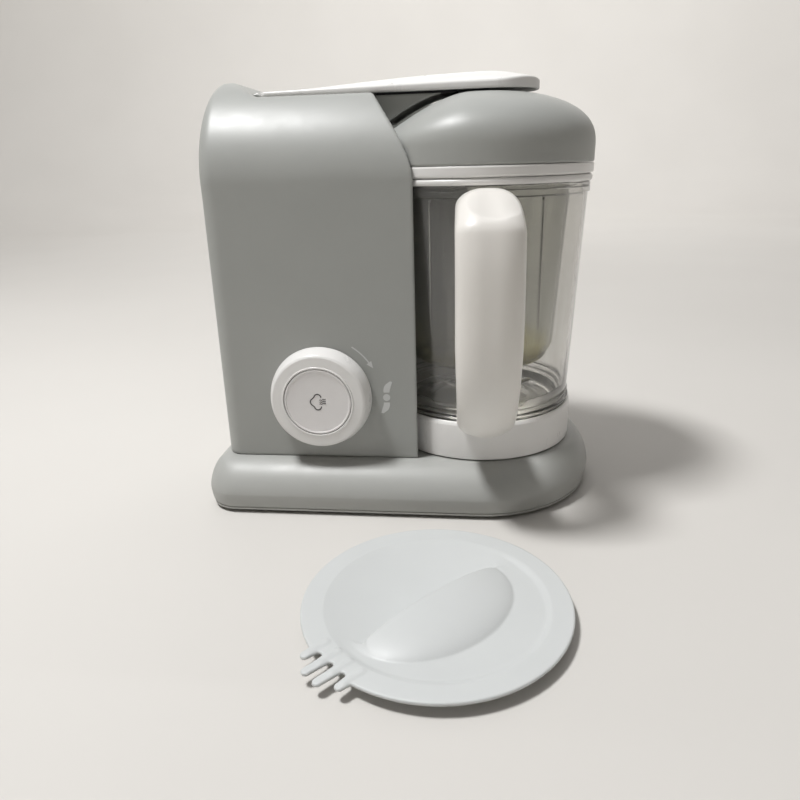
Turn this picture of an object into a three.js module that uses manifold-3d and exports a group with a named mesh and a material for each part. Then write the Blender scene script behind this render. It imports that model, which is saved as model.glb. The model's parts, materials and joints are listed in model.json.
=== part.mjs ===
// A steam-and-blend baby food maker, with its loose mixing lid on the table in front.
// Millimetres, +Z up, the front faces -Y. Every piece is its own named mesh.
// The machine is drawn about the jug's axis, and one group moves it to the part's frame.

import * as THREE from 'three';
import { mergeVertices } from 'three/addons/utils/BufferGeometryUtils.js';
import Module from 'manifold-3d';

const wasm = await Module();
wasm.setup();

// ---------------------------------------------------------------- driving dimensions

const GAP = 0.3;                  // clearance between pieces that touch
const WALL = 2.6;                 // moulded wall thickness

const BASE = { left: -167, right: 71.5, front: -76, back: 84, bottom: 2, belly: 12, top: 30 };
const BASE_CORNER = 20;           // plan radius of the two left corners
const BASE_SIDE_INSET = 9.5;      // how far the top edge stands in from the belly, at the sides
const BASE_FRONT_INSET = 18;      // and at the front

const HOUSING = { left: -156, right: -10, front: -55.8, back: 74, bottom: 30.3, deck: 236.8, peak: 248 };
const HOUSING_CORNER = 12;        // vertical corner radius
const ROLL = { depth: 60.3, height: 70, power: 1.85 };   // the front's roll into the top
const BACK_ROLL = 26;             // radius of the top's edge at the back
const CHEEK = { crest: -149, foot: -133 };   // the raised left cheek falls to the deck between these
const BAY_RADIUS = 65.8;          // the hollow in the housing that the jug stands in

const JUG_REST_TURN = 2.6;        // degrees that the handle stands right of straight ahead
const RING = { radius: 58.5, bottom: 30.7, top: 54 };    // white ring under the jug
const JUG = { floor: 47.3, foot: 55.2, rim: 187, mouth: 62.6, wall: 2.2, collar: 181, collarRadius: 63.5 };
const BASKET = { bottom: 79, rim: 188.6, foot: 46, mouth: 52, flange: 61.4, wall: 1.8 };
const GASKET = { bottom: 187.4, top: 190.9, inner: 61.8, outer: 64.6 };
const LID = { radius: 65, bandBottom: 191.2, bandTop: 197, shoulder: 207, top: 236.8, wall: 2.4, power: 2.15 };
const HANDLE = { half: 16.8, outer: -104, inner: -86, top: 186, bottom: 52, round: 5.5 };

const KNOB = { x: -92.9, z: 69.8, radius: 31, buttonRadius: 20.6, proud: 10.6, buttonProud: 13.8 };
const BUTTON_TRAVEL = 2;

const PIVOT = { x: -129, z: 236.8 };         // axis of the arm's hinge, along Y
const ARM = {
  left: -121, right: 33.5, half: 22, under: 237.2, edge: 240.8, crown: 6.8, tipStart: 5, wall: 1.8,
};
const ARM_STATIONS = [-121, -104, -80, -52, -22, 5, 16, 24, 29.5, 32.6];

const TANK = { x: -106, radius: 36, bottom: 146, top: 218, wall: 1.2 };
const MOUTH = { x: -95, radius: 15, top: 231 };
const MOTOR = { x: -110, y: 8, radius: 27, bottom: 44, top: 112 };
const PULLEY = { small: 7, large: 28, beltBottom: 12, beltTop: 20, beltThickness: 1.6 };
const BOARD = { left: -148, right: -76, front: 50, bottom: 58, top: 134, thickness: 1.6 };

const PLATE = { x: -19.7, y: -160.3, radius: 62.6, rim: 5.2, thickness: 1.8, well: 51.4 };  // mixing lid
const GRIP_ANGLE = 47;                       // heading of the mixing lid's crest, in degrees
const FORK = { angle: -132, root: 58.4, toothHalf: 1.9, slotHalf: 1.6 };     // its strainer fork
const TEETH = [[-12, 66.5], [-4, 71.5], [4, 71.5], [12, 66.5]];              // [offset, reach] of each tooth

const REAR_OPENING = { left: -142, right: -42, bottom: 48, top: 206 };       // closed by the rear cover
const CORD = { x: -122, z: 66, bore: 3.5, neck: 7, flange: 10 };             // gland in the rear cover
const HINGE = { barrel: 3, half: 13.6, ear: 19, pin: 1.4, bore: 1.7 };
const SCREW = { shank: 1.5, head: 3, hole: 1.8, sink: 3.4, boss: 4.2 };
const SHAFT = { motor: 3, drive: 4, blade: 3.5, play: 0.25 };

// Places as [x, y] on the base, or [x, z] on the rear cover.
const feet = { front_left: [-138, -54], rear_left: [-138, 62], front_right: [30, -50], rear_right: [30, 58] };
const screws = [[-151, -34], [-151, 44], [46, -34], [46, 40]];
const coverScrews = { upper: [-92, 198], lower: [-60, 56] };

// Sides of round pieces, by size.
const LARGE = 32;
const MEDIUM = 18;
const SMALL = 10;
const BAY_SIDES = 48;

// ---------------------------------------------------------------- materials

const paint = (colour, roughness, metalness = 0) =>
  new THREE.MeshStandardMaterial({ color: colour, roughness, metalness });
const clearPlastic = () =>
  new THREE.MeshStandardMaterial({ color: 0xd9dad4, roughness: 0.1, transparent: true, opacity: 0.35 });
const greyPlastic = () => paint(0xa9aba9, 0.42);
const whitePlastic = () => paint(0xebebec, 0.35);
const blackPlastic = () => paint(0x2b2b2d, 0.6);
const rubber = () => paint(0x8b8d8d, 0.85);
const silicone = () => paint(0xe6e2dc, 0.6);
const steel = () => paint(0xb9bbbe, 0.3, 1);
const copper = () => paint(0xa8643c, 0.4, 1);
const brass = () => paint(0xb99a55, 0.35, 1);
const boardGreen = () => paint(0x2d5b3c, 0.6);

// ---------------------------------------------------------------- solids

// A closed geometry as a solid with merged corners and its faces turned outward.
function solidOf(geometry) {
  const bare = geometry.clone();
  bare.deleteAttribute('normal');
  bare.deleteAttribute('uv');
  const merged = mergeVertices(bare, 1e-4);
  const place = merged.getAttribute('position');
  const corners = [];
  let volume = 0;
  const a = new THREE.Vector3();
  const b = new THREE.Vector3();
  const c = new THREE.Vector3();
  for (let i = 0; i < merged.index.count; i += 3) {
    const [p, q, r] = [0, 1, 2].map((k) => merged.index.getX(i + k));
    if (p === q || q === r || r === p) continue;
    corners.push(p, q, r);
    a.fromBufferAttribute(place, p);
    b.fromBufferAttribute(place, q);
    c.fromBufferAttribute(place, r);
    volume += a.dot(b.cross(c));
  }
  if (volume < 0) corners.reverse();
  const vertProperties = new Float32Array(place.array);
  const triVerts = new Uint32Array(corners);
  return new wasm.Manifold(new wasm.Mesh({ numProp: 3, vertProperties, triVerts }));
}

function geometryOf(solid) {
  const { vertProperties, triVerts } = solid.getMesh();
  const geometry = new THREE.BufferGeometry();
  geometry.setAttribute('position', new THREE.BufferAttribute(new Float32Array(vertProperties), 3));
  geometry.setIndex(new THREE.BufferAttribute(new Uint32Array(triVerts), 1));
  return geometry;
}

const combine = (action, first, others) =>
  geometryOf(others.reduce((whole, next) => whole[action](solidOf(next)), solidOf(first)));
const cut = (first, ...others) => combine('subtract', first, others);
const fuse = (first, ...others) => combine('add', first, others);
const common = (first, ...others) => combine('intersect', first, others);

// A box between two limits along each axis.
function block([x0, x1], [y0, y1], [z0, z1]) {
  const box = new THREE.BoxGeometry(x1 - x0, y1 - y0, z1 - z0);
  return box.translate((x0 + x1) / 2, (y0 + y1) / 2, (z0 + z1) / 2);
}

// An upright cylinder, or a cone where topRadius differs.
function post(radius, z0, z1, { x = 0, y = 0, sides = MEDIUM, topRadius = radius } = {}) {
  const cylinder = new THREE.CylinderGeometry(topRadius, radius, z1 - z0, sides);
  return cylinder.rotateX(Math.PI / 2).translate(x, y, (z0 + z1) / 2);
}

// A cylinder lying along Y at (x, z), between y0 and y1.
function rod(radius, y0, y1, x, z, sides = MEDIUM) {
  const cylinder = new THREE.CylinderGeometry(radius, radius, y1 - y0, sides);
  return cylinder.translate(x, (y0 + y1) / 2, z);
}

// A profile of [radius, z] points turned about Z. It is closed unless it starts on the axis.
function turned(profile, steps = MEDIUM) {
  const points = profile.map(([r, z]) => new THREE.Vector2(r, z));
  if (profile[0][0] > 0) points.push(points[0].clone());
  return new THREE.LatheGeometry(points, steps).rotateX(Math.PI / 2);
}

const collar = (inner, outer, z0, z1, steps = MEDIUM) =>
  turned([[inner, z0], [outer, z0], [outer, z1], [inner, z1]], steps);

// A flat outline pushed up from z0 to z1.
function prism(outline, z0, z1, curveSegments = 8) {
  const shape = outline instanceof THREE.Shape ? outline : new THREE.Shape(outline);
  return new THREE.ExtrudeGeometry(shape, { depth: z1 - z0, bevelEnabled: false, curveSegments })
    .translate(0, 0, z0);
}

// Closed rings of equal point count, skinned in order and closed with flat fans at both ends.
function loft(rings) {
  const count = rings[0].length;
  const flat = rings.flat();
  const index = [];
  for (let level = 0; level < rings.length - 1; level += 1) {
    for (let i = 0; i < count; i += 1) {
      const here = level * count + i;
      const next = level * count + ((i + 1) % count);
      index.push(here, next, next + count, here, next + count, here + count);
    }
  }
  for (const [level, flip] of [[0, true], [rings.length - 1, false]]) {
    const middle = new THREE.Vector3();
    rings[level].forEach((point) => middle.add(point));
    flat.push(middle.divideScalar(count));
    const centre = flat.length - 1;
    for (let i = 0; i < count; i += 1) {
      const here = level * count + i;
      const next = level * count + ((i + 1) % count);
      index.push(...(flip ? [centre, next, here] : [centre, here, next]));
    }
  }
  const geometry = new THREE.BufferGeometry().setFromPoints(flat);
  geometry.setIndex(index);
  return geometry;
}

// A round bar along a smooth curve through points.
function bar(points, radius, steps, sides = 8) {
  const path = new THREE.CatmullRomCurve3(points.map((p) => new THREE.Vector3(...p)));
  const section = new THREE.Shape(Array.from({ length: sides }, (_, i) => {
    const angle = (2 * Math.PI * i) / sides;
    return new THREE.Vector2(radius * Math.cos(angle), radius * Math.sin(angle));
  }));
  return new THREE.ExtrudeGeometry(section, { steps, bevelEnabled: false, extrudePath: path });
}

const degrees = (value) => (value * Math.PI) / 180;
const mix = THREE.MathUtils.lerp;

// ---------------------------------------------------------------- scene graph

const part = new THREE.Group();
const machine = new THREE.Group();
machine.position.set(-(BASE.left + BASE.right) / 2, -(PLATE.y - PLATE.radius + BASE.back) / 2, 0);
part.add(machine);

function piece(parent, name, geometry, material, place = [0, 0, 0]) {
  const closed = geometry.getAttribute('normal') ? geometryOf(solidOf(geometry)) : geometry;
  closed.computeVertexNormals();
  const mesh = new THREE.Mesh(closed, material);
  mesh.name = name;
  mesh.position.set(...place);
  parent.add(mesh);
  return mesh;
}

// ---------------------------------------------------------------- base

// The base's plan at one height: two round left corners and a half-oval right end.
function basePlan(side, front, z) {
  const points = [];
  const arc = (cx, cy, rx, ry, from, to, steps) => {
    for (let i = 0; i <= steps; i += 1) {
      const angle = degrees(mix(from, to, i / steps));
      points.push(new THREE.Vector3(cx + rx * Math.cos(angle), cy + ry * Math.sin(angle), z));
    }
  };
  const cornerX = BASE.left + BASE_CORNER;
  const frontY = BASE.front + BASE_CORNER;
  const backY = BASE.back - BASE_CORNER;
  arc(cornerX, frontY, BASE_CORNER - side, BASE_CORNER - front, 180, 270, 5);
  arc(0, 0, BASE.right - side, -BASE.front - front, -90, 0, 9);
  arc(0, 0, BASE.right - side, BASE.back - side, 10, 90, 8);
  arc(cornerX, backY, BASE_CORNER - side, BASE_CORNER - side, 90, 180, 5);
  return points;
}

// Levels of the belly: how far the wall has moved from the belly towards the top edge.
function baseForm(inset, levels, lowest) {
  const rings = [basePlan(1.2 + inset, 1.2 + inset, lowest)];
  for (let i = 0; i <= levels; i += 1) {
    const angle = degrees((90 * i) / levels);
    const reach = 1 - Math.cos(angle);
    const z = BASE.belly + (BASE.top - BASE.belly - inset) * Math.sin(angle);
    rings.push(basePlan(inset + BASE_SIDE_INSET * reach, inset + (BASE_FRONT_INSET - inset) * reach, z));
  }
  return loft(rings);
}

function baseShell() {
  const hollow = baseForm(WALL, 2, BASE.bottom - 1);
  const shell = cut(baseForm(0, 5, BASE.bottom), hollow);
  const atScrews = (radius, z0, z1) => screws.map(([x, y]) => post(radius, z0, z1, { x, y, sides: SMALL }));
  const bosses = atScrews(SCREW.boss, BASE.bottom + 3.4, BASE.top - 1);
  const screwHoles = atScrews(SCREW.hole, 0, BASE.top - 8);
  const driveHole = post(9.3, 0, BASE.top + 1);
  const motorHole = post(7, 0, BASE.top + 1, { x: MOTOR.x, y: MOTOR.y });
  const wirePassage = block([-138, -128], [30, 60], [20, BASE.top + 1]);
  return cut(fuse(shell, ...bosses), ...screwHoles, driveHole, motorHole, wirePassage);
}

function bottomPlate() {
  const inset = WALL + 1.2 + 2 * GAP;
  const plate = loft([basePlan(inset, inset, BASE.bottom + 0.2), basePlan(inset, inset, BASE.bottom + 2.6)]);
  const holes = screws.map(([x, y]) => post(SCREW.hole, 0, 9, { x, y, sides: SMALL }));
  const sinks = screws.map(([x, y]) => post(SCREW.sink, 0, BASE.bottom + 1.2, { x, y, sides: SMALL }));
  const vents = [];
  for (let i = 0; i < 3; i += 1) vents.push(block([-128 + 12 * i, -123 + 12 * i], [-20, 34], [0, 9]));
  return cut(plate, ...holes, ...sinks, ...vents);
}

function addBase() {
  piece(machine, 'base_shell', baseShell(), greyPlastic());
  piece(machine, 'base_bottom_plate', bottomPlate(), blackPlastic());
  for (const [name, [x, y]] of Object.entries(feet)) {
    const foot = turned([[0, 0], [7, 0], [8, 1], [8, BASE.bottom - 0.1], [0, BASE.bottom - 0.1]], SMALL);
    piece(machine, `foot_${name}`, foot, rubber(), [x, y, 0]);
  }
  screws.forEach(([x, y], i) => {
    const head = BASE.bottom - 0.2;
    const neck = head + 1.1;
    const profile = [
      [0, head], [SCREW.head, head], [SCREW.head, neck], [SCREW.shank, neck], [SCREW.shank, 16], [0, 16],
    ];
    piece(machine, `bottom_screw_${i + 1}`, turned(profile, SMALL), steel(), [x, y, 0]);
  });
}

// ---------------------------------------------------------------- housing

// The housing's outer form, or with an inset the form of its hollow.
function housingForm(inset) {
  const left = HOUSING.left + inset;
  const front = HOUSING.front + inset;
  const back = HOUSING.back - inset;
  const right = HOUSING.right - inset;
  const low = inset > 0 ? HOUSING.bottom - 5 : HOUSING.bottom;
  const radius = HOUSING_CORNER - inset;
  const plan = new THREE.Shape();
  plan.moveTo(right, front);
  plan.lineTo(right, back);
  plan.lineTo(left + radius, back);
  plan.absarc(left + radius, back - radius, radius, Math.PI / 2, Math.PI, false);
  plan.absarc(left + radius, front + radius, radius, Math.PI, 1.5 * Math.PI, false);
  const walls = prism(plan, low, 260, 6);

  // Side view, as [y, z], swept along X.
  const side = [[HOUSING.front + inset, low]];
  const rollEnd = HOUSING.front + ROLL.depth;
  for (let i = 0; i <= 12; i += 1) {
    const angle = degrees((90 * i) / 12);
    const along = Math.cos(angle) ** (2 / ROLL.power);
    const up = Math.sin(angle) ** (2 / ROLL.power);
    const z = HOUSING.peak - ROLL.height + (ROLL.height - inset) * up;
    side.push([rollEnd - (ROLL.depth - inset) * along, z]);
  }
  const edge = BACK_ROLL - inset;
  for (let i = 0; i <= 6; i += 1) {
    const angle = degrees(90 - 15 * i);
    side.push([
      HOUSING.back - BACK_ROLL + edge * Math.cos(angle),
      HOUSING.peak - BACK_ROLL + edge * Math.sin(angle),
    ]);
  }
  side.push([back, low]);
  const sweep = prism(side.map(([y, z]) => new THREE.Vector2(y, z)), HOUSING.left - 1, 5)
    .rotateY(Math.PI / 2).rotateX(Math.PI / 2);

  // Front view, as [x, z], swept along Y: the cheek falls to the flat deck under the arm.
  const deck = HOUSING.deck - inset;
  const peak = HOUSING.peak - inset;
  const top = new THREE.Shape();
  top.moveTo(HOUSING.left - 1, low - 1);
  top.lineTo(HOUSING.left + inset, HOUSING.peak - 14);
  top.quadraticCurveTo(HOUSING.left + inset, peak, CHEEK.crest, peak);
  top.quadraticCurveTo(CHEEK.crest + 4, peak, CHEEK.foot - 2.5, deck + 2.2);
  top.quadraticCurveTo(CHEEK.foot, deck, CHEEK.foot + 3, deck);
  top.lineTo(5, deck);
  top.lineTo(5, low - 1);
  const skyline = prism(top, -HOUSING.back - 1, -HOUSING.front + 1, 6).rotateX(Math.PI / 2);

  return cut(common(walls, sweep, skyline), post(BAY_RADIUS + inset, low - 1, 270, { sides: BAY_SIDES }));
}

// Ears and seat for the arm's hinge pin, standing on the deck.
function hingeSeat() {
  const { ear, barrel } = HINGE;
  const seat = block([PIVOT.x - 7, PIVOT.x + 7], [-ear, ear], [HOUSING.deck - 8, HOUSING.deck - 0.2]);
  return fuse(seat, rod(barrel + 0.2, -ear, ear, PIVOT.x, PIVOT.z));
}

function housingShell() {
  const shell = fuse(cut(housingForm(0), housingForm(WALL)), hingeSeat());
  const { left, right, bottom, top } = REAR_OPENING;
  const backOpening = block([left, right], [60, 90], [bottom, top]);
  const knobHole = rod(12.7, -70, -50, KNOB.x, KNOB.z);
  const mouthHole = post(19.3, 225, 250, { x: MOUTH.x });
  const groove = HINGE.barrel + 0.6;
  const reach = HINGE.half + 0.4;
  const hingeGroove = fuse(
    rod(groove, -reach, reach, PIVOT.x, PIVOT.z),
    block([PIVOT.x - groove, PIVOT.x + 7.3], [-reach, reach], [PIVOT.z, PIVOT.z + 9]),
  );
  const pinHole = rod(HINGE.bore, -18.3, 25, PIVOT.x, PIVOT.z, SMALL);
  return cut(shell, backOpening, knobHole, mouthHole, hingeGroove, pinHole);
}

function rearCover() {
  const { left, right, bottom, top } = REAR_OPENING;
  const back = HOUSING.back;
  const plate = block([left + GAP, right - GAP], [back - 2.4, back - 0.2], [bottom + GAP, top - GAP]);
  const vents = [];
  for (let i = 0; i < 7; i += 1) vents.push(block([-130, -86], [60, 90], [96 + 8 * i, 99.5 + 8 * i]));
  const holes = Object.values(coverScrews).map(([x, z]) => rod(SCREW.hole, 60, 90, x, z, SMALL));
  return cut(plate, ...vents, ...holes, rod(CORD.neck + 0.4, 60, 90, CORD.x, CORD.z));
}

function addHousing() {
  piece(machine, 'housing_shell', housingShell(), greyPlastic());
  piece(machine, 'rear_cover', rearCover(), greyPlastic());
  for (const [name, [x, z]] of Object.entries(coverScrews)) {
    const seat = HOUSING.back + 0.1;
    const shank = rod(SCREW.shank, seat - 12, seat + 0.1, x, z, SMALL);
    const screw = fuse(shank, rod(SCREW.head, seat, seat + 1.5, x, z, SMALL));
    piece(machine, `rear_cover_screw_${name}`, screw, steel());
  }
  const { bore, neck, flange } = CORD;
  const gland = turned([
    [bore, 0], [neck, 0], [neck, 9], [flange, 9], [flange, 11], [neck - 0.5, 11.5], [5.2, 15], [bore, 15],
  ], SMALL);
  const glandPlace = [CORD.x, HOUSING.back - 8.9, CORD.z];
  piece(machine, 'cord_gland', gland.rotateX(-Math.PI / 2), blackPlastic(), glandPlace);
}

// ---------------------------------------------------------------- boiler

function boilerTank() {
  const { x, radius, bottom, top, wall } = TANK;
  const neck = MOUTH.radius + wall;
  const body = [
    [0, bottom], [radius - 4, bottom], [radius, bottom + 4], [radius, top - 8], [radius - 8, top], [0, top],
  ];
  const room = [
    [0, bottom + wall], [radius - 4.4, bottom + wall], [radius - wall, bottom + 4.4],
    [radius - wall, top - 8.4], [radius - 8.4, top - wall], [0, top - wall],
  ];
  const shell = fuse(turned(body).translate(x, 0, 0), post(neck, top - 4, MOUTH.top, { x: MOUTH.x }));
  return cut(
    shell,
    turned(room).translate(x, 0, 0),
    post(MOUTH.radius, top - 6, MOUTH.top + 2, { x: MOUTH.x }),
  );
}

function addBoiler() {
  piece(machine, 'boiler_tank', boilerTank(), steel());
  const lip = MOUTH.top + 0.4;
  const rim = HOUSING.deck - 0.5;
  const mouth = [[17, lip - 1.9], [18.9, lip - 1.9], [18.9, rim], [15.2, rim], [15.2, lip], [17, lip]];
  piece(machine, 'tank_mouth_ring', turned(mouth), whitePlastic(), [MOUTH.x, 0, 0]);
  const heater = turned([[20, 141.2], [30, 141.2], [31, 143], [30, 145.6], [20, 145.6], [19, 143]]);
  piece(machine, 'boiler_heater', heater, copper(), [TANK.x, 0, 0]);
  piece(machine, 'thermostat', turned([[0, 132], [8, 132], [8, 143], [6, 145.6], [0, 145.6]], SMALL), brass(),
    [TANK.x, 0, 0]);
  const thermostatHole = post(9, 130, 150, { x: TANK.x });
  const baySpace = post(BAY_RADIUS + WALL + GAP, 130, 150, { sides: BAY_SIDES });
  const wirePassage = block([-128, -122], [34, 50], [130, 150]);
  const shelf = cut(block([-152.9, -60], [-44, 44], [137.8, 140.6]), thermostatHole, baySpace, wirePassage);
  piece(machine, 'boiler_shelf', shelf, blackPlastic());
}

// ---------------------------------------------------------------- motor, belt and drive

function fan() {
  const blades = [];
  for (let i = 0; i < 6; i += 1) {
    blades.push(block([4, 22], [-0.8, 0.8], [115.2, 121]).rotateZ(degrees(60 * i)));
  }
  return cut(fuse(post(6, 114.4, 121), ...blades), post(SHAFT.motor + SHAFT.play, 110, 125));
}

function pulley(radius, bore) {
  const { beltBottom: low, beltTop: high } = PULLEY;
  return turned([
    [bore, low - 1.6], [radius + 1.6, low - 1.6], [radius + 1.6, low - 0.5], [radius, low - 0.5],
    [radius, high + 0.5], [radius + 1.6, high + 0.5], [radius + 1.6, high + 1.6], [bore, high + 1.6],
  ], radius > 20 ? LARGE : MEDIUM);
}

// The belt's outline round both pulleys, a distance out from their rims.
function beltOutline(offset) {
  const small = PULLEY.small + offset;
  const large = PULLEY.large + offset;
  const heading = Math.atan2(MOTOR.y, MOTOR.x);
  const spread = Math.acos((large - small) / Math.hypot(MOTOR.x, MOTOR.y));
  const points = [];
  for (let i = 0; i <= 20; i += 1) {
    const angle = heading + mix(spread, 2 * Math.PI - spread, i / 20);
    points.push(new THREE.Vector2(large * Math.cos(angle), large * Math.sin(angle)));
  }
  for (let i = 0; i <= 6; i += 1) {
    const angle = heading + mix(-spread, spread, i / 6);
    points.push(new THREE.Vector2(MOTOR.x + small * Math.cos(angle), MOTOR.y + small * Math.sin(angle)));
  }
  return points;
}

function belt() {
  const { beltBottom: low, beltTop: high, beltThickness } = PULLEY;
  return cut(prism(beltOutline(GAP + beltThickness), low, high), prism(beltOutline(GAP), low - 1, high + 1));
}

// A round plate with two dogs, each a slice of a ring, standing on one side.
function dogPlate(plateZ, dogZ, firstAngle) {
  const dog = (angle) => {
    const slice = new THREE.Shape();
    slice.absarc(0, 0, 11, degrees(angle - 20), degrees(angle + 20), false);
    slice.absarc(0, 0, 6, degrees(angle + 20), degrees(angle - 20), true);
    return prism(slice, ...dogZ, 6);
  };
  return fuse(post(12, ...plateZ), dog(firstAngle), dog(firstAngle + 180));
}

function addDrive() {
  const motor = new THREE.Group();
  motor.position.set(MOTOR.x, MOTOR.y, 0);
  machine.add(motor);
  const { radius, bottom, top } = MOTOR;
  const can = cut(
    post(radius, bottom, top),
    post(radius - 4, bottom + 3, top - 2.5),
    post(9, bottom - 1, top + 1),
    ...[45, 135, 225, 315].map((angle) =>
      block([12, 20], [-5, 5], [top - 4, top + 1]).rotateZ(degrees(angle))),
  );
  piece(motor, 'motor_stator', can, steel());
  const motorBore = SHAFT.motor + SHAFT.play;
  piece(motor, 'motor_rotor', collar(motorBore, 21, 54, 102), copper());
  piece(motor, 'motor_shaft', post(SHAFT.motor, 9.6, 122.5), steel());
  piece(motor, 'motor_fan', fan(), blackPlastic());
  piece(motor, 'motor_pulley', pulley(PULLEY.small, motorBore), brass());
  const bracket = cut(
    fuse(
      block([-32, 32], [-24, 24], [40, 43.6]),
      block([-32, -29], [-24, 24], [30.4, 42]),
      block([29, 32], [-24, 24], [30.4, 42]),
    ),
    post(9, 30, 50),
  );
  piece(motor, 'motor_bracket', bracket, steel());

  piece(machine, 'drive_belt', belt(), blackPlastic());
  piece(machine, 'drive_pulley', pulley(PULLEY.large, SHAFT.drive + SHAFT.play), blackPlastic());
  piece(machine, 'drive_shaft', post(SHAFT.drive, 6, 33), steel());
  const bush = turned([[4.3, 22.2], [9, 22.2], [9, 30.2], [11, 30.2], [11, 31.6], [4.3, 31.6]]);
  piece(machine, 'drive_bush', bush, brass());
  piece(machine, 'drive_coupling', dogPlate([33.3, 35.6], [35.5, 40.6], 0), whitePlastic());
}

// ---------------------------------------------------------------- controls and electrics

function addControls() {
  // In this group +Z points out of the housing's front, towards -Y.
  const front = new THREE.Group();
  front.position.set(KNOB.x, HOUSING.front, KNOB.z);
  front.rotation.x = Math.PI / 2;
  machine.add(front);
  const { radius, buttonRadius, proud, buttonProud } = KNOB;
  const ring = [
    [5.6, -12], [12, -12], [12, 0.5], [radius, 0.5], [radius, proud - 4], [radius - 1.2, proud - 1.2],
    [radius - 3.4, proud], [buttonRadius + 1.6, proud], [buttonRadius + 0.6, proud - 1],
    [buttonRadius + 0.6, 3.2], [5.6, 3.2],
  ];
  piece(front, 'knob_ring', turned(ring, LARGE), whitePlastic());
  const under = 3.2 + BUTTON_TRAVEL + 0.6;
  const stemEnd = -14.5;
  const button = [
    [0, stemEnd], [5.2, stemEnd], [5.2, under], [buttonRadius, under], [buttonRadius, buttonProud - 1],
    [buttonRadius - 1, buttonProud - 0.2], [buttonRadius - 5, buttonProud], [0, buttonProud],
  ];
  piece(front, 'steam_button', turned(button, LARGE), whitePlastic());
  const turns = 2.5;
  const coil = Array.from({ length: 26 }, (_, i) => {
    const angle = (2 * Math.PI * turns * i) / 25;
    return [14 * Math.cos(angle), 14 * Math.sin(angle), mix(-11, -4, i / 25)];
  });
  piece(front, 'knob_return_spring', bar(coil, 0.6, 30, 5), steel());
  piece(front, 'pulse_switch', block([17, 29], [-5, 5], [-20, -5]), blackPlastic());
  const actuator = stemEnd - BUTTON_TRAVEL - 0.4;
  const switchBody = block([-8, 8], [-5, 5], [-30, actuator - 2]);
  const plunger = block([-2, 2], [-2, 2], [-22, actuator]);
  piece(front, 'steam_switch', fuse(switchBody, plunger), blackPlastic());

  const { left, right, front: face, bottom, top, thickness } = BOARD;
  const board = fuse(
    block([left, right], [face, face + thickness], [bottom, top]),
    block([left + 6, left + 24], [face - 12, face + 1], [bottom + 8, bottom + 30]),
    block([left + 8, left + 20], [face - 9, face + 1], [top - 26, top - 12]),
    block([right - 26, right - 8], [face - 9, face + 1], [bottom + 10, bottom + 24]),
    rod(5, face - 9, face + 1, right - 16, top - 20, SMALL),
  );
  piece(machine, 'control_board', board, boardGreen());
  piece(machine, 'interlock_switch', block([24, 38], [-41, -34], [14, 25.5]), blackPlastic());
  const motorRun = [[-80, 49.2, 96], [-80, 45, 96], [-83, 37, 88], [-89.4, 28.8, 80]];
  piece(machine, 'motor_cable', bar(motorRun, 1.4, 8), blackPlastic());
  const heaterRun = [
    [-125, 49.2, 128], [-125, 46, 128.4], [-125, 42, 143], [-122, 36, 143.4], [-116, 31.4, 143.4],
  ];
  piece(machine, 'heater_cable', bar(heaterRun, 1.4, 12), rubber());
}

// ---------------------------------------------------------------- jug

const jugRadiusAt = (z) => mix(JUG.foot, JUG.mouth, (z - JUG.floor) / (JUG.rim - JUG.floor));

function jugBody() {
  const { floor, foot, rim, wall, collar: collarZ, collarRadius } = JUG;
  const outer = [
    [0, floor], [foot - 3, floor], [foot, floor + 3], [jugRadiusAt(collarZ), collarZ],
    [collarRadius, collarZ + 0.4], [collarRadius, rim], [0, rim],
  ];
  const inner = [
    [0, floor + 3], [foot - wall - 6, floor + 3], [foot - wall, floor + 8],
    [jugRadiusAt(rim) - wall, rim], [jugRadiusAt(rim) - wall, rim + 2], [0, rim + 2],
  ];
  return cut(turned(outer, LARGE), turned(inner, LARGE), post(5.2, floor - 1, floor + 5));
}

// The handle's side view as [distance out from the jug's axis, z]; the grip is bevelled all round.
function jugHandle() {
  const { half, outer, inner, top, bottom, round } = HANDLE;
  const side = new THREE.Shape();
  const out = -outer - round;
  const hollow = -inner + round;
  side.moveTo(50, top - round);
  side.lineTo(68, top - round);
  side.quadraticCurveTo(out - 8, 178, out - 3, 166);
  side.quadraticCurveTo(out + 0.4, 150, out, 120);
  side.quadraticCurveTo(out - 1, 84, out - 9, 72);
  side.quadraticCurveTo(out - 15, bottom + round + 4, 74, bottom + round);
  side.lineTo(50, bottom + round);
  side.lineTo(50, bottom + 13);
  side.lineTo(72, bottom + 15);
  side.quadraticCurveTo(hollow - 3, 78, hollow, 92);
  side.lineTo(hollow, 146);
  side.quadraticCurveTo(hollow - 1, 161, 78, 165);
  side.lineTo(50, 168);
  const grip = new THREE.ExtrudeGeometry(side, {
    depth: 2 * (half - round), bevelEnabled: true, bevelThickness: round, bevelSize: round,
    bevelSegments: 3, curveSegments: 5,
  });
  grip.translate(0, 0, -(half - round)).rotateX(Math.PI / 2).rotateZ(-Math.PI / 2);
  const ringTop = RING.top + GAP;
  const collarFoot = JUG.collar - GAP;
  const jugSpace = turned([
    [0, 20], [RING.radius + GAP, 20], [RING.radius + GAP, ringTop], [jugRadiusAt(RING.top) + 2 * GAP, ringTop],
    [jugRadiusAt(JUG.collar) + 2 * GAP, collarFoot], [JUG.collarRadius + GAP, collarFoot],
    [JUG.collarRadius + GAP, 200], [0, 200],
  ], LARGE);
  return cut(grip, jugSpace);
}

function jugBaseRing() {
  const { radius, bottom, top } = RING;
  const skirt = radius - 2.3;
  return turned([
    [12.4, 44], [skirt, 44], [skirt, bottom], [radius, bottom], [radius, top - 1], [radius - 0.8, top],
    [skirt, top], [skirt, 47], [12.4, 47],
  ], LARGE);
}

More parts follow.
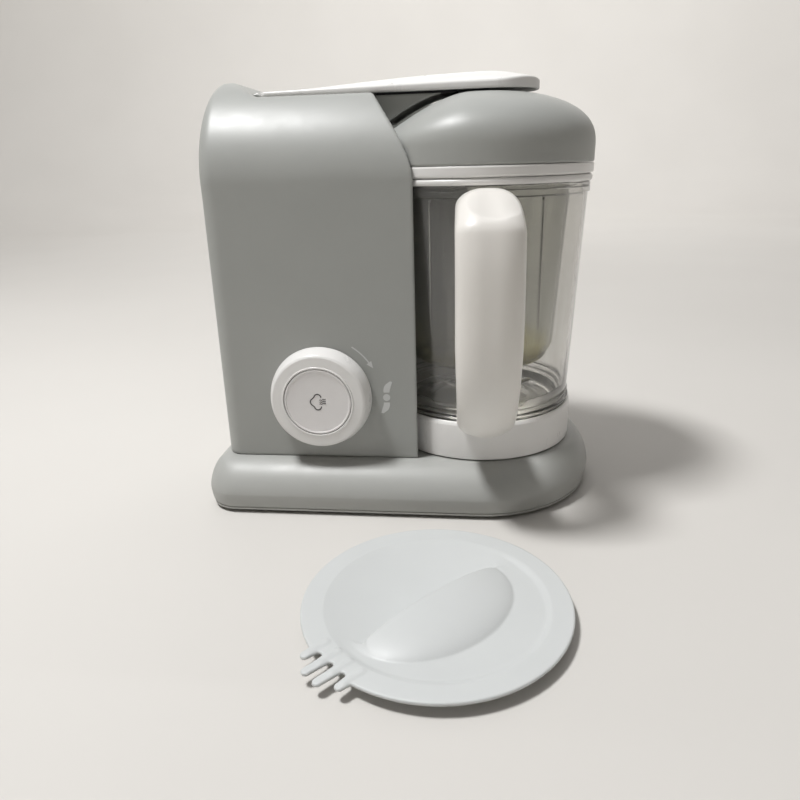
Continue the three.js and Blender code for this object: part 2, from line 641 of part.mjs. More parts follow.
// A flat S of two swept arms with turned-up tips.
function blade() {
  const arm = new THREE.Shape();
  arm.moveTo(4, -7);
  arm.quadraticCurveTo(20, -9, 33, 2);
  arm.quadraticCurveTo(20, 1, 8, 7);
  arm.lineTo(-2, 7);
  arm.lineTo(-2, -7);
  const flat = prism(arm, 56, 57.2, 6);
  const tip = block([-9, 9], [-5, 5], [-0.6, 0.6]).rotateY(degrees(-40)).translate(27, 0, 62);
  const reach = common(tip, block([18, 40], [-4, 6], [50, 80]));
  const wing = fuse(flat, reach);
  return cut(fuse(wing, wing.clone().rotateZ(Math.PI)), post(6.3, 50, 70));
}

function addJug() {
  const jug = new THREE.Group();
  jug.rotation.z = degrees(JUG_REST_TURN);
  machine.add(jug);
  piece(jug, 'jug_rest_ring', collar(44, 52, 30.3, 33.4, LARGE), rubber());
  piece(jug, 'jug_base_ring', jugBaseRing(), whitePlastic());
  piece(jug, 'jug_body', jugBody(), clearPlastic());
  piece(jug, 'jug_handle', jugHandle(), whitePlastic());
  const bore = SHAFT.blade + GAP;
  const bearing = turned([
    [bore, 44.4], [12.1, 44.4], [12.1, 46.9], [4.9, 46.9], [4.9, 50.6], [8, 51], [8, 52.2], [bore, 52.2],
  ], SMALL);
  piece(jug, 'blade_bearing', bearing, steel());
  const shaft = fuse(dogPlate([41.2, 43.6], [36.1, 41.4], 90), post(SHAFT.blade, 43, 64));
  piece(jug, 'blade_shaft', shaft, steel());
  const hub = turned([
    [bore, 52.6], [9.5, 52.6], [8.5, 55.6], [5.9, 55.6], [5.9, 57.6], [8, 57.6], [6, 66], [0, 67.4],
    [0, 64.4], [bore, 64.4],
  ], SMALL);
  piece(jug, 'blade_hub', hub, steel());
  piece(jug, 'blade', blade(), steel());
  return jug;
}

// ---------------------------------------------------------------- basket and lid

function steamBasket() {
  const { bottom, rim, foot, mouth, flange, wall } = BASKET;
  const outer = [
    [0, bottom], [foot - 12, bottom], [foot - 4, bottom + 3], [foot, bottom + 12],
    [mouth, rim - 1.4], [flange, rim - 1.3], [flange, rim], [0, rim],
  ];
  const inner = [
    [0, bottom + wall], [foot - 12.6, bottom + wall], [foot - wall - 3.6, bottom + 4.4],
    [foot - wall, bottom + 12.4], [mouth - wall, rim], [mouth - wall, rim + 2], [0, rim + 2],
  ];
  const slots = [];
  for (let i = 0; i < 8; i += 1) {
    slots.push(block([14, 30], [-1.2, 1.2], [bottom - 1, bottom + 4]).rotateZ(degrees(45 * i)));
  }
  return cut(turned(outer, LARGE), turned(inner, LARGE), ...slots);
}

// The dome's wall from its shoulder to its top, as a fuller curve than an ellipse.
function domeCurve(radius, height, steps) {
  return Array.from({ length: steps + 1 }, (_, i) => {
    const angle = degrees((90 * i) / steps);
    const power = 2 / LID.power;
    return [radius * Math.cos(angle) ** power, LID.shoulder + height * Math.sin(angle) ** power];
  });
}

function lidDome() {
  const { radius, bandTop, shoulder, top, wall } = LID;
  const skirt = bandTop + GAP;
  const outer = [[0, skirt], [radius, skirt], ...domeCurve(radius, top - shoulder, 7).slice(0, -1), [0, top]];
  const inner = [
    [0, skirt - 1], [radius - wall, skirt - 1],
    ...domeCurve(radius - wall, top - shoulder - wall, 4).slice(0, -1), [0, top - wall],
  ];
  const seat = post(13, 229, 236);
  const shell = fuse(cut(turned(outer, LARGE), turned(inner, LARGE)), seat);
  return cut(shell, post(11.4, 233, 240), post(5.5, 220, 240));
}

function addLid(jug) {
  piece(jug, 'steam_basket', steamBasket(), clearPlastic());
  const { bottom, top, inner, outer } = GASKET;
  const seal = turned([
    [inner, bottom], [outer - 0.8, bottom], [outer, bottom + 0.8], [outer, top - 0.8],
    [outer - 0.8, top], [inner, top],
  ], LARGE);
  piece(jug, 'lid_gasket', seal, silicone());
  const { radius, bandBottom, bandTop } = LID;
  const band = turned([
    [radius - 6, bandBottom], [radius - 0.6, bandBottom], [radius, bandBottom + 0.6],
    [radius, bandTop], [radius - 6, bandTop],
  ], LARGE);
  piece(jug, 'lid_ring', band, whitePlastic());
  piece(jug, 'lid_dome', lidDome(), greyPlastic());
  const inlet = turned([[3.5, 226], [5.1, 226], [5.1, 233.3], [7.5, 233.3], [7.5, 234.4], [3.5, 234.4]], SMALL);
  piece(jug, 'steam_inlet', inlet, whitePlastic());
}

// ---------------------------------------------------------------- arm

// Half width and crown height of the arm's top along X.
const armHalf = (x) => {
  const along = Math.max(0, (x - ARM.tipStart) / (ARM.right - ARM.tipStart));
  return ARM.half * Math.sqrt(Math.max(0, 1 - along ** 2));
};
const armCrown = (x) => {
  const rise = Math.sin((Math.PI / 2) * Math.min(1, (x - ARM.left) / (ARM.tipStart - ARM.left)));
  const fall = Math.max(0, (x - ARM.tipStart) / (ARM.right - ARM.tipStart));
  return ARM.crown * rise * Math.sqrt(Math.max(0, 1 - fall ** 2));
};

// A station along the arm, drawn in from both ends by the inset.
const insetStation = (x, inset) =>
  mix(ARM.left + inset, ARM.right - inset, (x - ARM.left) / (ARM.right - ARM.left));

function armForm(inset, under) {
  const rings = ARM_STATIONS.map((x) => {
    const half = Math.max(0.6, armHalf(x) - inset);
    const crown = armCrown(x);
    const shifted = insetStation(x, inset);
    const ring = [new THREE.Vector3(shifted, half, under), new THREE.Vector3(shifted, -half, under)];
    for (let i = 0; i <= 8; i += 1) {
      const across = -1 + (2 * i) / 8;
      const z = ARM.edge - inset + crown * (1 - across ** 2);
      ring.push(new THREE.Vector3(shifted, half * across, z));
    }
    return ring;
  });
  return loft(rings);
}

function armTop() {
  const shell = cut(armForm(0, ARM.under), armForm(ARM.wall, ARM.under - 1));
  const { barrel, half, bore } = HINGE;
  const knuckle = fuse(
    rod(barrel, -half, half, PIVOT.x, PIVOT.z),
    block([PIVOT.x, ARM.left + 1.5], [-half, half], [ARM.under, PIVOT.z + barrel - 0.1]),
  );
  return cut(fuse(shell, knuckle), rod(bore, -15, 15, PIVOT.x, PIVOT.z, SMALL));
}

function armUnderside() {
  const inset = ARM.wall + GAP;
  const stations = ARM_STATIONS.filter((x) => x === ARM.left || x >= ARM.tipStart);
  const plan = stations.map((x) => [insetStation(x, inset), Math.max(0.6, armHalf(x) - inset)]);
  const mirrored = plan.map(([x, y]) => [x, -y]).reverse();
  const outline = [...plan, ...mirrored].map(([x, y]) => new THREE.Vector2(x, y));
  const duct = block([MOUTH.x - 4, 4], [-4, 4], [ARM.under + 0.2, ARM.under + 2.4]);
  const bore = block([MOUTH.x - 2.6, 2.6], [-2.6, 2.6], [ARM.under + 0.8, ARM.under + 1.8]);
  const plate = fuse(prism(outline, ARM.under + 0.1, ARM.under + 1.5), duct);
  return cut(plate, bore, post(2.5, 230, ARM.under + 1.4, { x: MOUTH.x }), post(2.5, 230, ARM.under + 1.4));
}

function addArm() {
  piece(machine, 'arm_top', armTop(), whitePlastic());
  piece(machine, 'arm_underside', armUnderside(), greyPlastic());
  piece(machine, 'arm_hinge_pin', rod(HINGE.pin, -18, 18.8, PIVOT.x, PIVOT.z, SMALL), steel());
  const tankSeal = turned([[8, 233.4], [13.6, 233.4], [14.2, 235], [14.2, 236.9], [8, 236.9]]);
  piece(machine, 'tank_seal', tankSeal, silicone(), [MOUTH.x, 0, 0]);
  const outletSeal = turned([[4, 234.8], [9.5, 234.8], [10.2, 235.8], [10.2, 236.9], [4, 236.9]]);
  piece(machine, 'steam_outlet_seal', outletSeal, silicone());
}

// ---------------------------------------------------------------- mixing lid

// The strainer fork: a tab with four teeth, pointing along +X before it is turned.
function fork() {
  const z0 = PLATE.rim;
  const z1 = PLATE.rim + PLATE.thickness;
  const tab = [[52, -19], [61, -15.4], [61, 15.4], [52, 19]].map(([x, y]) => new THREE.Vector2(x, y));
  const { root, toothHalf, slotHalf } = FORK;
  const teeth = TEETH.map(([y, reach]) => {
    const tooth = new THREE.Shape();
    tooth.moveTo(root - 1.4, y - toothHalf - 0.5);
    tooth.lineTo(reach - toothHalf, y - toothHalf);
    tooth.absarc(reach - toothHalf, y, toothHalf, -Math.PI / 2, Math.PI / 2, false);
    tooth.lineTo(root - 1.4, y + toothHalf + 0.5);
    return prism(tooth, z0, z1, 4);
  });
  const slots = [-8, 0, 8].map((y) => block([root, 75], [y - slotHalf, y + slotHalf], [z0 - 1, z1 + 1]));
  return cut(fuse(prism(tab, z0, z1), ...teeth), ...slots);
}

function mixingLid() {
  const { radius, rim, thickness, well } = PLATE;
  const top = rim + thickness;
  const disc = turned([
    [0, rim - 1.6], [well, rim - 1.6], [well + 1.5, rim], [radius, rim], [radius, top - 0.4],
    [radius - 0.4, top], [well + 1.2, top], [well, top - 1.4], [0, top - 1.4],
  ], LARGE);
  const skirt = collar(well + 1.4, well + 3.4, 0, rim + 0.4, LARGE);
  // The grip: half of an egg on one side of a straight crest, and a dish on the other side.
  const ball = (a, b, c, z) => new THREE.SphereGeometry(1, 18, 8).scale(a, b, c).translate(0, 0, z);
  const half = common(ball(47, 33, 10, 3.6), block([-60, 60], [-60, 0], [rim - 1, 30]));
  const hollow = common(ball(45, 42, 4.2, top - 0.8), block([-60, 60], [0.6, 60], [0, 30]));
  const floor = common(ball(46.6, 43.6, 5, top - 1), block([-60, 60], [-2, 60], [0, rim]));
  const grip = degrees(GRIP_ANGLE);
  const lid = cut(fuse(disc, half.rotateZ(grip), floor.rotateZ(grip)), hollow.rotateZ(grip));
  return fuse(lid, skirt, fork().rotateZ(degrees(FORK.angle)));
}

function addMixingLid() {
  const lid = new THREE.Group();
  lid.position.set(PLATE.x, PLATE.y, 0);
  machine.add(lid);
  piece(lid, 'mixing_lid', mixingLid(), paint(0xdcdedd, 0.45));
}

addBase();
addHousing();
addBoiler();
addDrive();
addControls();
addLid(addJug());
addArm();
addMixingLid();

export default part;
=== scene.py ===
"""Looks for a steam-and-blend baby food maker with its loose mixing lid.

Shapes are written in millimetres about the jug's axis, with +Z up and the front towards -Y. The mesh
helpers move them to metres in the CAD frame, so every piece lands on the CAD part that it dresses.
"""
import json
from math import atan2, cos, pi, radians, sin, tan

import bmesh
import bpy
import numpy as np
from mathutils import Matrix, Vector


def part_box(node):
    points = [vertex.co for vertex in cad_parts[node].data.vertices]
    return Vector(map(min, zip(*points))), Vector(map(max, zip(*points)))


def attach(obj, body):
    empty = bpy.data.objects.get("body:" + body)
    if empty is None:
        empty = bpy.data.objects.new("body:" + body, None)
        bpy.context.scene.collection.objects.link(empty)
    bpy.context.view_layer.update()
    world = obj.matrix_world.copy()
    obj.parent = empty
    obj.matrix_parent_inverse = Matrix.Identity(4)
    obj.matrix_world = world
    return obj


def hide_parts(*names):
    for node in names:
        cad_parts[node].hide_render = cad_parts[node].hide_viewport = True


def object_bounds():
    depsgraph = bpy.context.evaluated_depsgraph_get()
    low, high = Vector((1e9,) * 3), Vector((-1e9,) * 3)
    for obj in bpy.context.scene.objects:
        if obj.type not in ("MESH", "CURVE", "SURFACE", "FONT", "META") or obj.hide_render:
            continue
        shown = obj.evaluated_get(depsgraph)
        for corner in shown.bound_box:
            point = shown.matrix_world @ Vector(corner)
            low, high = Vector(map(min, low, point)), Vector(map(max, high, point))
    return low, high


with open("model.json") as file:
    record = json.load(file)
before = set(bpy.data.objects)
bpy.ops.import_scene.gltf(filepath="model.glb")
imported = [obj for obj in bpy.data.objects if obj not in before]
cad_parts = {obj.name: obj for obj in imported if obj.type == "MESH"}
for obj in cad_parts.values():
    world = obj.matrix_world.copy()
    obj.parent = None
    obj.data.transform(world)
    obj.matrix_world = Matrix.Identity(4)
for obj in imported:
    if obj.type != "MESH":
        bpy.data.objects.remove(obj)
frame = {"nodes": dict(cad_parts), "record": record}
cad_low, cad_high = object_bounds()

MM = 0.001

# ---------------- places taken from the frame

dome_low, dome_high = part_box("lid_dome")
AXIS = (dome_low + dome_high) / 2 / MM          # the jug's axis


def limits(node):
    """A CAD node's lowest and highest corners in millimetres about the jug's axis."""
    shift = Vector((AXIS.x, AXIS.y, 0))
    low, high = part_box(node)
    return low / MM - shift, high / MM - shift


BASE_LOW, BASE_HIGH = limits("base_shell")
HOUSING_LOW, HOUSING_HIGH = limits("housing_shell")
RING_LOW, RING_HIGH = limits("jug_base_ring")
JUG_LOW, JUG_HIGH = limits("jug_body")
DOME_LOW = limits("lid_dome")[0]
ARM_HIGH = limits("arm_top")[1]
KNOB_LOW, KNOB_HIGH = limits("knob_ring")
BUTTON_HIGH = limits("steam_button")[1]
PIN_LOW, PIN_HIGH = limits("arm_hinge_pin")
PLATE_HIGH = limits("mixing_lid")[1]
GLAND_LOW, GLAND_HIGH = limits("cord_gland")
COVER_LOW, COVER_HIGH = limits("rear_cover")
MOUTH_LOW, MOUTH_HIGH = limits("tank_mouth_ring")

# ---------------- driving dimensions

FRONT = HOUSING_LOW.y                  # the housing's front face
DECK = 236.8                           # the housing's flat top under the arm
ROLL_DEPTH, ROLL_HEIGHT, ROLL_POWER = 60.3, 57.0, 1.85
BACK_ROLL = 26.0
BAY_RADIUS = 65.8                      # the hollow that the jug stands in
WALL = 2.6                             # thickness of the base's and housing's shells
VENTS, VENT_LOW, VENT_STEP = 7, 97.7, 8.0

BASE_CORNER = 20.0
BASE_BELLY = 12.0                      # height at which the base is widest
BASE_SIDE_INSET, BASE_FRONT_INSET = 9.5, 18.0
BASE_POWER = 1.6                       # below 2 the belly is flatter than an oval

JUG_TURN = radians(2.6)                # the handle stands a little right of straight ahead
RING_RADIUS = 58.5
JUG_FOOT, JUG_MOUTH, JUG_WALL = 55.2, 62.6, 2.2
COLLAR_FOOT, COLLAR_RADIUS = 181.0, 63.5
RIB_OFFSET = 29.6                      # from the jug's middle plane to its ribs
HANDLE_HALF, HANDLE_CORNER = 17.2, 8.4
STAIN_LOW, STAIN_HIGH = 97.0, 112.0    # the basket's foot is tinted by food

LID_RADIUS, LID_SHOULDER, LID_WALL, DOME_TOP = 65.0, 207.0, 2.4, 236.8
DOME_POWER = 2.36                      # 2 would be an oval; more is fuller
DOME_LEAN = 0.64                       # how far the dome falls off towards the housing
LID_TRAVEL = 32                        # degrees that the lid may turn either way under the duct

PIVOT = Vector(((PIN_LOW.x + PIN_HIGH.x) / 2, 0, (PIN_LOW.z + PIN_HIGH.z) / 2))
ARM_HALF, ARM_CROWN, ARM_TIP = 22.0, 6.8, 5.0
ARM_LEFT, ARM_UNDER = -124.6, 237.2    # the broad part's left end and its underside
ARM_SHELL = 1.9
ROOT_HALF = 13.6                       # half the width of the arm's narrow root
DUCT_TOP = 235.9

KNOB_X = (KNOB_LOW.x + KNOB_HIGH.x) / 2
KNOB_Z = (KNOB_LOW.z + KNOB_HIGH.z) / 2
KNOB_PROUD = 12.4                      # from the housing's front to the knob's face
BUTTON_RADIUS, LIP = 19.75, 0.95
MARK_DEPTH = 0.14

PLATE_RADIUS, PLATE_WELL, PLATE_TOP = 62.6, 51.4, 7.0
PLATE_X = PLATE_HIGH.x - PLATE_RADIUS
PLATE_Y = PLATE_HIGH.y - PLATE_RADIUS
PLATE_THICK = 1.8
CREST_ANGLE, FORK_ANGLE = radians(47), radians(-132)
TEETH = ((-12, 67), (-4, 72), (4, 72), (12, 67))    # each tooth's offset and reach

TO_FRONT, TO_BACK = (90, "X"), (-90, "X")           # facings for turned pieces

EYE = Vector((-2.845, -419.558, 198.805))           # the camera, from the jug's axis
YAW, PITCH, ROLL = 0.119, 0.323, -0.029
LENS, SHIFT = 29.77, (0.0005, -0.0178)


# ---------------- mesh helpers

def add_object(name, points, faces, crease=30):
    """A mesh object from points in jug-axis millimetres. Edges past the crease angle stay sharp."""
    placed = (np.asarray(points, float) + (AXIS.x, AXIS.y, 0)) * MM
    mesh = bpy.data.meshes.new(name)
    mesh.from_pydata(placed.tolist(), [], faces)
    obj = bpy.data.objects.new(name, mesh)
    bpy.context.scene.collection.objects.link(obj)
    shade(obj, crease)
    return obj


def shade(obj, crease):
    """Smooth faces, outward normals, and sharp edges past the crease angle."""
    work = bmesh.new()
    work.from_mesh(obj.data)
    bmesh.ops.recalc_face_normals(work, faces=work.faces)
    for face in work.faces:
        face.smooth = True
    for edge in work.edges:
        edge.smooth = len(edge.link_faces) != 2 or edge.calc_face_angle() < radians(crease)
    work.to_mesh(obj.data)
    work.free()


def soften(outline, radius=0.4, steps=4):
    """A closed outline with rounded corners. A point may carry its own radius as a third number."""
    rounded = []
    count = len(outline)
    for i, point in enumerate(outline):
        here = Vector(point[:2])
        back = Vector(outline[i - 1][:2]) - here
        ahead = Vector(outline[(i + 1) % count][:2]) - here
        size = point[2] if len(point) > 2 else radius
        on_axis = here.x == 0
        angle = back.angle(ahead, pi)
        if size == 0 or on_axis or angle > radians(176):
            rounded.append((here.x, here.y))
            continue
        reach = min(size / tan(angle / 2), 0.45 * back.length, 0.45 * ahead.length)
        start = here + back.normalized() * reach
        end = here + ahead.normalized() * reach
        for k in range(steps + 1):
            t = k / steps
            place = start * (1 - t) ** 2 + here * 2 * t * (1 - t) + end * t ** 2
            rounded.append((place.x, place.y))
    return rounded


def revolve(profile, segments=128):
    """Points and faces of a closed (radius, z) outline turned about Z."""
    points, faces, rings = [], [], []
    for radius, z in profile:
        start = len(points)
        if radius < 1e-6:
            points.append((0, 0, z))
            rings.append([start] * segments)
            continue
        for k in range(segments):
            angle = 2 * pi * k / segments
            points.append((radius * cos(angle), radius * sin(angle), z))
        rings.append(list(range(start, start + segments)))
    for here, ahead in zip(rings, rings[1:] + rings[:1]):
        for k in range(segments):
            nxt = (k + 1) % segments
            corners = list(dict.fromkeys((here[k], here[nxt], ahead[nxt], ahead[k])))
            if len(corners) > 2:
                faces.append(corners)
    return np.array(points, float), faces


def spun(points, angle, axis="Z"):
    """The points turned about an axis."""
    return points @ np.array(Matrix.Rotation(angle, 3, axis)).T


def turned(name, profile, at=(0, 0, 0), segments=128, facing=None, crease=30):
    """A turned piece at a place. facing turns its axis from +Z, as (angle, axis letter)."""
    points, faces = revolve(profile, segments)
    if facing:
        points = spun(points, radians(facing[0]), facing[1])
    return add_object(name, points + np.array(at, float), faces, crease)


def loft(rings):
    """Points and faces skinned through closed rings of equal count, closed with a face at both ends."""
    count = len(rings[0])
    points = np.array([point for ring in rings for point in ring], float)
    faces = []
    for level in range(len(rings) - 1):
        for k in range(count):
            here = level * count + k
            ahead = level * count + (k + 1) % count
            faces.append((here, ahead, ahead + count, here + count))
    faces.append(list(range(count))[::-1])
    faces.append(list(range((len(rings) - 1) * count, len(rings) * count)))
    return points, faces


def carve(obj, cutters, crease=60):
    """Cuts the closed cutter objects out of obj and removes them."""
    for cutter in cutters:
        change = obj.modifiers.new("cut", "BOOLEAN")
        change.operation = "DIFFERENCE"
        change.solver = "MANIFOLD"
        change.object = cutter
    bpy.context.view_layer.update()
    result = bpy.data.meshes.new_from_object(obj.evaluated_get(bpy.context.evaluated_depsgraph_get()))
    obj.modifiers.clear()
    obj.data = result
    for cutter in cutters:
        bpy.data.objects.remove(cutter)
    shade(obj, crease)


def block(low, high):
    """A plain box, used only to cut with."""
    ring = [(low[0], low[1]), (high[0], low[1]), (high[0], high[1]), (low[0], high[1])]
    return add_object("cutter", *prism(ring, low[2], high[2]))


def prism(outline, low, high):
    """Points and faces of a flat outline of (x, y) pushed up from low to high."""
    return loft([[(x, y, z) for x, y in outline] for z in (low, high)])


# ---------------- fields, which are signed distances

def both(a, b, radius=0.0):
    """What is inside both fields, with its edge rounded to the radius."""
    if np.isscalar(radius) and radius == 0:
        return np.maximum(a, b)
    corner = np.hypot(np.maximum(a + radius, 0), np.maximum(b + radius, 0))
    return np.minimum(np.maximum(a, b), -radius) + corner


def either(a, b, radius=0.0):
    """What is inside either field, with its inner corner filled to the radius."""
    return -both(-a, -b, radius)


def without(a, b, radius=0.0):
    """The first field with the second cut out of it."""
    return both(a, -b, radius)


def capsule(x, y, start, end, radius, end_radius=None):
    """A flat bar with round ends, tapering to end_radius."""
    end_radius = radius if end_radius is None else end_radius
    along = np.array(end, float) - start
    share = ((x - start[0]) * along[0] + (y - start[1]) * along[1]) / (along @ along)
    share = np.clip(share, 0, 1)
    gap = np.hypot(x - start[0] - share * along[0], y - start[1] - share * along[1])
    return gap - (radius + (end_radius - radius) * share)


def inside_outline(x, y, outline):
    """Signed distance to a closed flat outline, negative inside."""
    nearest = np.full(np.shape(x), 1e9)
    inside = np.zeros(np.shape(x), bool)
    for (x0, y0), (x1, y1) in zip(outline, outline[1:] + outline[:1]):
        nearest = np.minimum(nearest, capsule(x, y, (x0, y0), (x1, y1), 0.0))
        if y0 != y1:
            crosses = (y0 > y) != (y1 > y)
            inside ^= crosses & (x < (x1 - x0) * (y - y0) / (y1 - y0) + x0)
    return np.where(inside, -nearest, nearest)


def smooth_curve(points, steps=6):
    """An open curve through the points, as a Catmull-Rom spline."""
    ends = [points[0], *points, points[-1]]
    curve = []
    for before, start, end, after in zip(ends, ends[1:], ends[2:], ends[3:]):
        for k in range(steps):
            t = k / steps
            curve.append(tuple(
                0.5 * (2 * b + (c - a) * t + (2 * a - 5 * b + 4 * c - d) * t ** 2
                       + (3 * b - a - 3 * c + d) * t ** 3)
                for a, b, c, d in zip(before, start, end, after)
            ))
    return curve + [tuple(points[-1])]


def slope_of(field, points):
    """The field's gradient at points, by central differences."""
    step = 0.02
    sides = [(field(*(points + shift).T) - field(*(points - shift).T)) for shift in np.eye(3) * step]
    return np.stack(sides, 1) / (2 * step)


def pull_to_surface(field, points, cell):
    """Moves points towards where the field is zero, by less than a cell."""
    slope = slope_of(field, points)
    move = slope * (field(*points.T) / np.maximum((slope ** 2).sum(1), 1e-9))[:, None]
    length = np.linalg.norm(move, axis=1)
    return points - move * np.minimum(1, 0.8 * cell / np.maximum(length, 1e-9))[:, None]


def skin(field, low, high, cell):
    """Points and quads of the closed surface where field(x, y, z) is zero. It is negative inside."""
    axes = [np.arange(start - 1.7 * cell, end + 2.7 * cell, cell) for start, end in zip(low, high)]
    solid = field(*np.meshgrid(*axes, indexing="ij")) < 0
    shape = np.array(solid.shape) - 1
    filled = np.zeros(shape, np.int8)
    for i, j, k in np.ndindex(2, 2, 2):
        filled += solid[i:i + shape[0], j:j + shape[1], k:k + shape[2]]
    crossed = (filled > 0) & (filled < 8)
    number = np.full(shape, -1)
    number[crossed] = np.arange(crossed.sum())
    where = np.argwhere(crossed)
    points = np.stack([axes[a][where[:, a]] + cell / 2 for a in range(3)], 1)
    quads = []
    for axis in range(3):
        change = np.diff(solid.astype(np.int8), axis=axis)
        edges = np.argwhere(change)
        first, second = [a for a in range(3) if a != axis]
        ring = []
        for da, db in ((-1, -1), (0, -1), (0, 0), (-1, 0)):
            cells = edges.copy()
            cells[:, first] += da
            cells[:, second] += db
            ring.append(number[tuple(cells.T)])
        quad = np.stack(ring, 1)
        flip = (change[tuple(edges.T)] > 0) ^ (axis == 1)
        quad[flip] = quad[flip][:, ::-1]
        quads.append(quad)
    quads = np.concatenate(quads)
    shared = np.bincount(quads.ravel(), minlength=len(points))[:, None]
    for _ in range(3):
        points = pull_to_surface(field, points, cell)
        centres = points[quads].mean(1)
        total = np.zeros_like(points)
        for corner in range(4):
            np.add.at(total, quads[:, corner], centres)
        points = (points + total / shared) / 2
    for _ in range(3):
        points = pull_to_surface(field, points, cell)
    return points, quads


def grown(name, field, low, high, cell, at=(0, 0, 0), turn=0.0, crease=75):
    """A piece skinned from a field, drawn about at and turned about Z."""
    points, quads = skin(field, low, high, cell)
    return add_object(name, spun(points, turn) + np.array(at, float), quads.tolist(), crease)


# ---------------- materials

def node(tree, kind, **values):
    """A new shader node with its properties or input sockets set by name."""
    made = tree.nodes.new(kind)
    for key, value in values.items():
        if hasattr(made, key):
            setattr(made, key, value)
        else:
            made.inputs[key.replace("_", " ")].default_value = value
    return made


def start_material(name):
    """A new material with its node tree, its shader and the object coordinates."""
    material = bpy.data.materials.new(name)
    material.use_nodes = True
    tree = material.node_tree
    shader = tree.nodes["Principled BSDF"]
    place = tree.nodes.new("ShaderNodeTexCoord").outputs["Object"]
    return material, tree, shader, place


def noise(tree, place, scale, detail=3.0, rough=0.5, stretch=None):
    """A noise pattern in object space. stretch scales it along each axis."""
    if stretch:
        mapping = node(tree, "ShaderNodeMapping")
        mapping.inputs["Scale"].default_value = stretch
        tree.links.new(place, mapping.inputs["Vector"])
        place = mapping.outputs["Vector"]
    made = node(tree, "ShaderNodeTexNoise", Scale=scale, Detail=detail, Roughness=rough)
    tree.links.new(place, made.inputs["Vector"])
    return made.outputs["Fac"]


def spread(tree, value, low, high, start=0.3, end=0.7):
    """The value mapped from start..end to low..high."""
    made = node(tree, "ShaderNodeMapRange")
    for socket, number in (("From Min", start), ("From Max", end), ("To Min", low), ("To Max", high)):
        made.inputs[socket].default_value = number
    tree.links.new(value, made.inputs["Value"])
    return made.outputs["Result"]


def blend_colours(tree, value, first, second):
    """A colour between first and second, by the value."""
    made = node(tree, "ShaderNodeMix", data_type="RGBA")
    made.inputs[6].default_value = (*first, 1)
    made.inputs[7].default_value = (*second, 1)
    tree.links.new(value, made.inputs[0])
    return made.outputs[2]


def tint(tree, shader, value, first, second):
    """Feeds the shader a colour between first and second, by the value."""
    tree.links.new(blend_colours(tree, value, first, second), shader.inputs["Base Color"])


def bumps(tree, shader, layers):
    """Stacks bump layers of (height, depth in metres) and feeds the shader's normal."""
    normal = None
    for height, depth in layers:
        made = node(tree, "ShaderNodeBump", Strength=1.0, Distance=depth)
        tree.links.new(height, made.inputs["Height"])
        if normal:
            tree.links.new(normal, made.inputs["Normal"])
        normal = made.outputs["Normal"]
    tree.links.new(normal, shader.inputs["Normal"])


def shifted(colour, amount):
    """The colour made lighter by a share, or darker if it is negative."""
    return tuple(max(0.0, min(1.0, channel * (1 + amount))) for channel in colour)


def moulded(name, colour, roughness=0.35, grain=0.00001, mottle=0.03, coat=0.0, coat_roughness=0.2,
            grain_scale=2600):
    """Injection-moulded plastic: a fine grain, faint flow marks, a few rubbed and smudged places."""
    material, tree, shader, place = start_material(name)
    flow = noise(tree, place, 22, 4.0, 0.55)
    tint(tree, shader, spread(tree, flow, 0, 1), shifted(colour, -mottle), shifted(colour, mottle))
    rubbed = noise(tree, place, 90, 5.0, 0.65, (1, 1, 0.35))
    tree.links.new(spread(tree, rubbed, roughness - 0.035, roughness + 0.05), shader.inputs["Roughness"])
    fine = noise(tree, place, grain_scale, 2.0, 0.6)
    wave = noise(tree, place, 160, 2.0, 0.5)
    bumps(tree, shader, [(wave, 0.00002), (fine, grain)])
    shader.inputs["Coat Weight"].default_value = coat
    shader.inputs["Coat Roughness"].default_value = coat_roughness
    return material


def clear(name, colour, haze=0.03, milk=0.0, stain=None):
    """Clear moulded plastic, scratched up and down. milk is its cloudy share, and stain tints its foot."""
    material, tree, shader, place = start_material(name)
    shader.inputs["Transmission Weight"].default_value = 1.0 - milk
    shader.inputs["IOR"].default_value = 1.46
    streaks = spread(tree, noise(tree, place, 170, 3.0, 0.6, (1, 1, 0.02)), 0, 1)
    wall = blend_colours(tree, streaks, shifted(colour, -0.06), shifted(colour, 0.05))
    if stain:
        wall = stained(tree, place, wall, stain)
    tree.links.new(wall, shader.inputs["Base Color"])
    wiped = noise(tree, place, 60, 5.0, 0.7, (1, 1, 0.3))
    tree.links.new(spread(tree, wiped, haze * 0.5, haze * 2.2, 0.35, 0.75), shader.inputs["Roughness"])
    hair = noise(tree, place, 900, 2.0, 0.6, (1, 1, 0.03))
    flow = noise(tree, place, 45, 2.0, 0.5, (1, 1, 0.12))
    bumps(tree, shader, [(flow, 0.00022), (hair, 0.000006)])
    lamps_pass(tree, shader, shifted(colour, -0.03))
    return material


def stained(tree, place, wall, stain):
    """The wall's colour, turning to the stain below a ragged line."""
    split = node(tree, "ShaderNodeSeparateXYZ")
    tree.links.new(place, split.inputs["Vector"])
    ragged = node(tree, "ShaderNodeMath", operation="MULTIPLY_ADD")
    ragged.inputs[1].default_value = 0.03
    tree.links.new(noise(tree, place, 120, 4.0, 0.6), ragged.inputs[0])
    tree.links.new(split.outputs["Z"], ragged.inputs[2])
    mix = node(tree, "ShaderNodeMix", data_type="RGBA")
    tree.links.new(spread(tree, ragged.outputs[0], 0, 1, STAIN_LOW * MM, STAIN_HIGH * MM), mix.inputs[0])
    mix.inputs[6].default_value = (*stain, 1)
    tree.links.new(wall, mix.inputs[7])
    return mix.outputs[2]


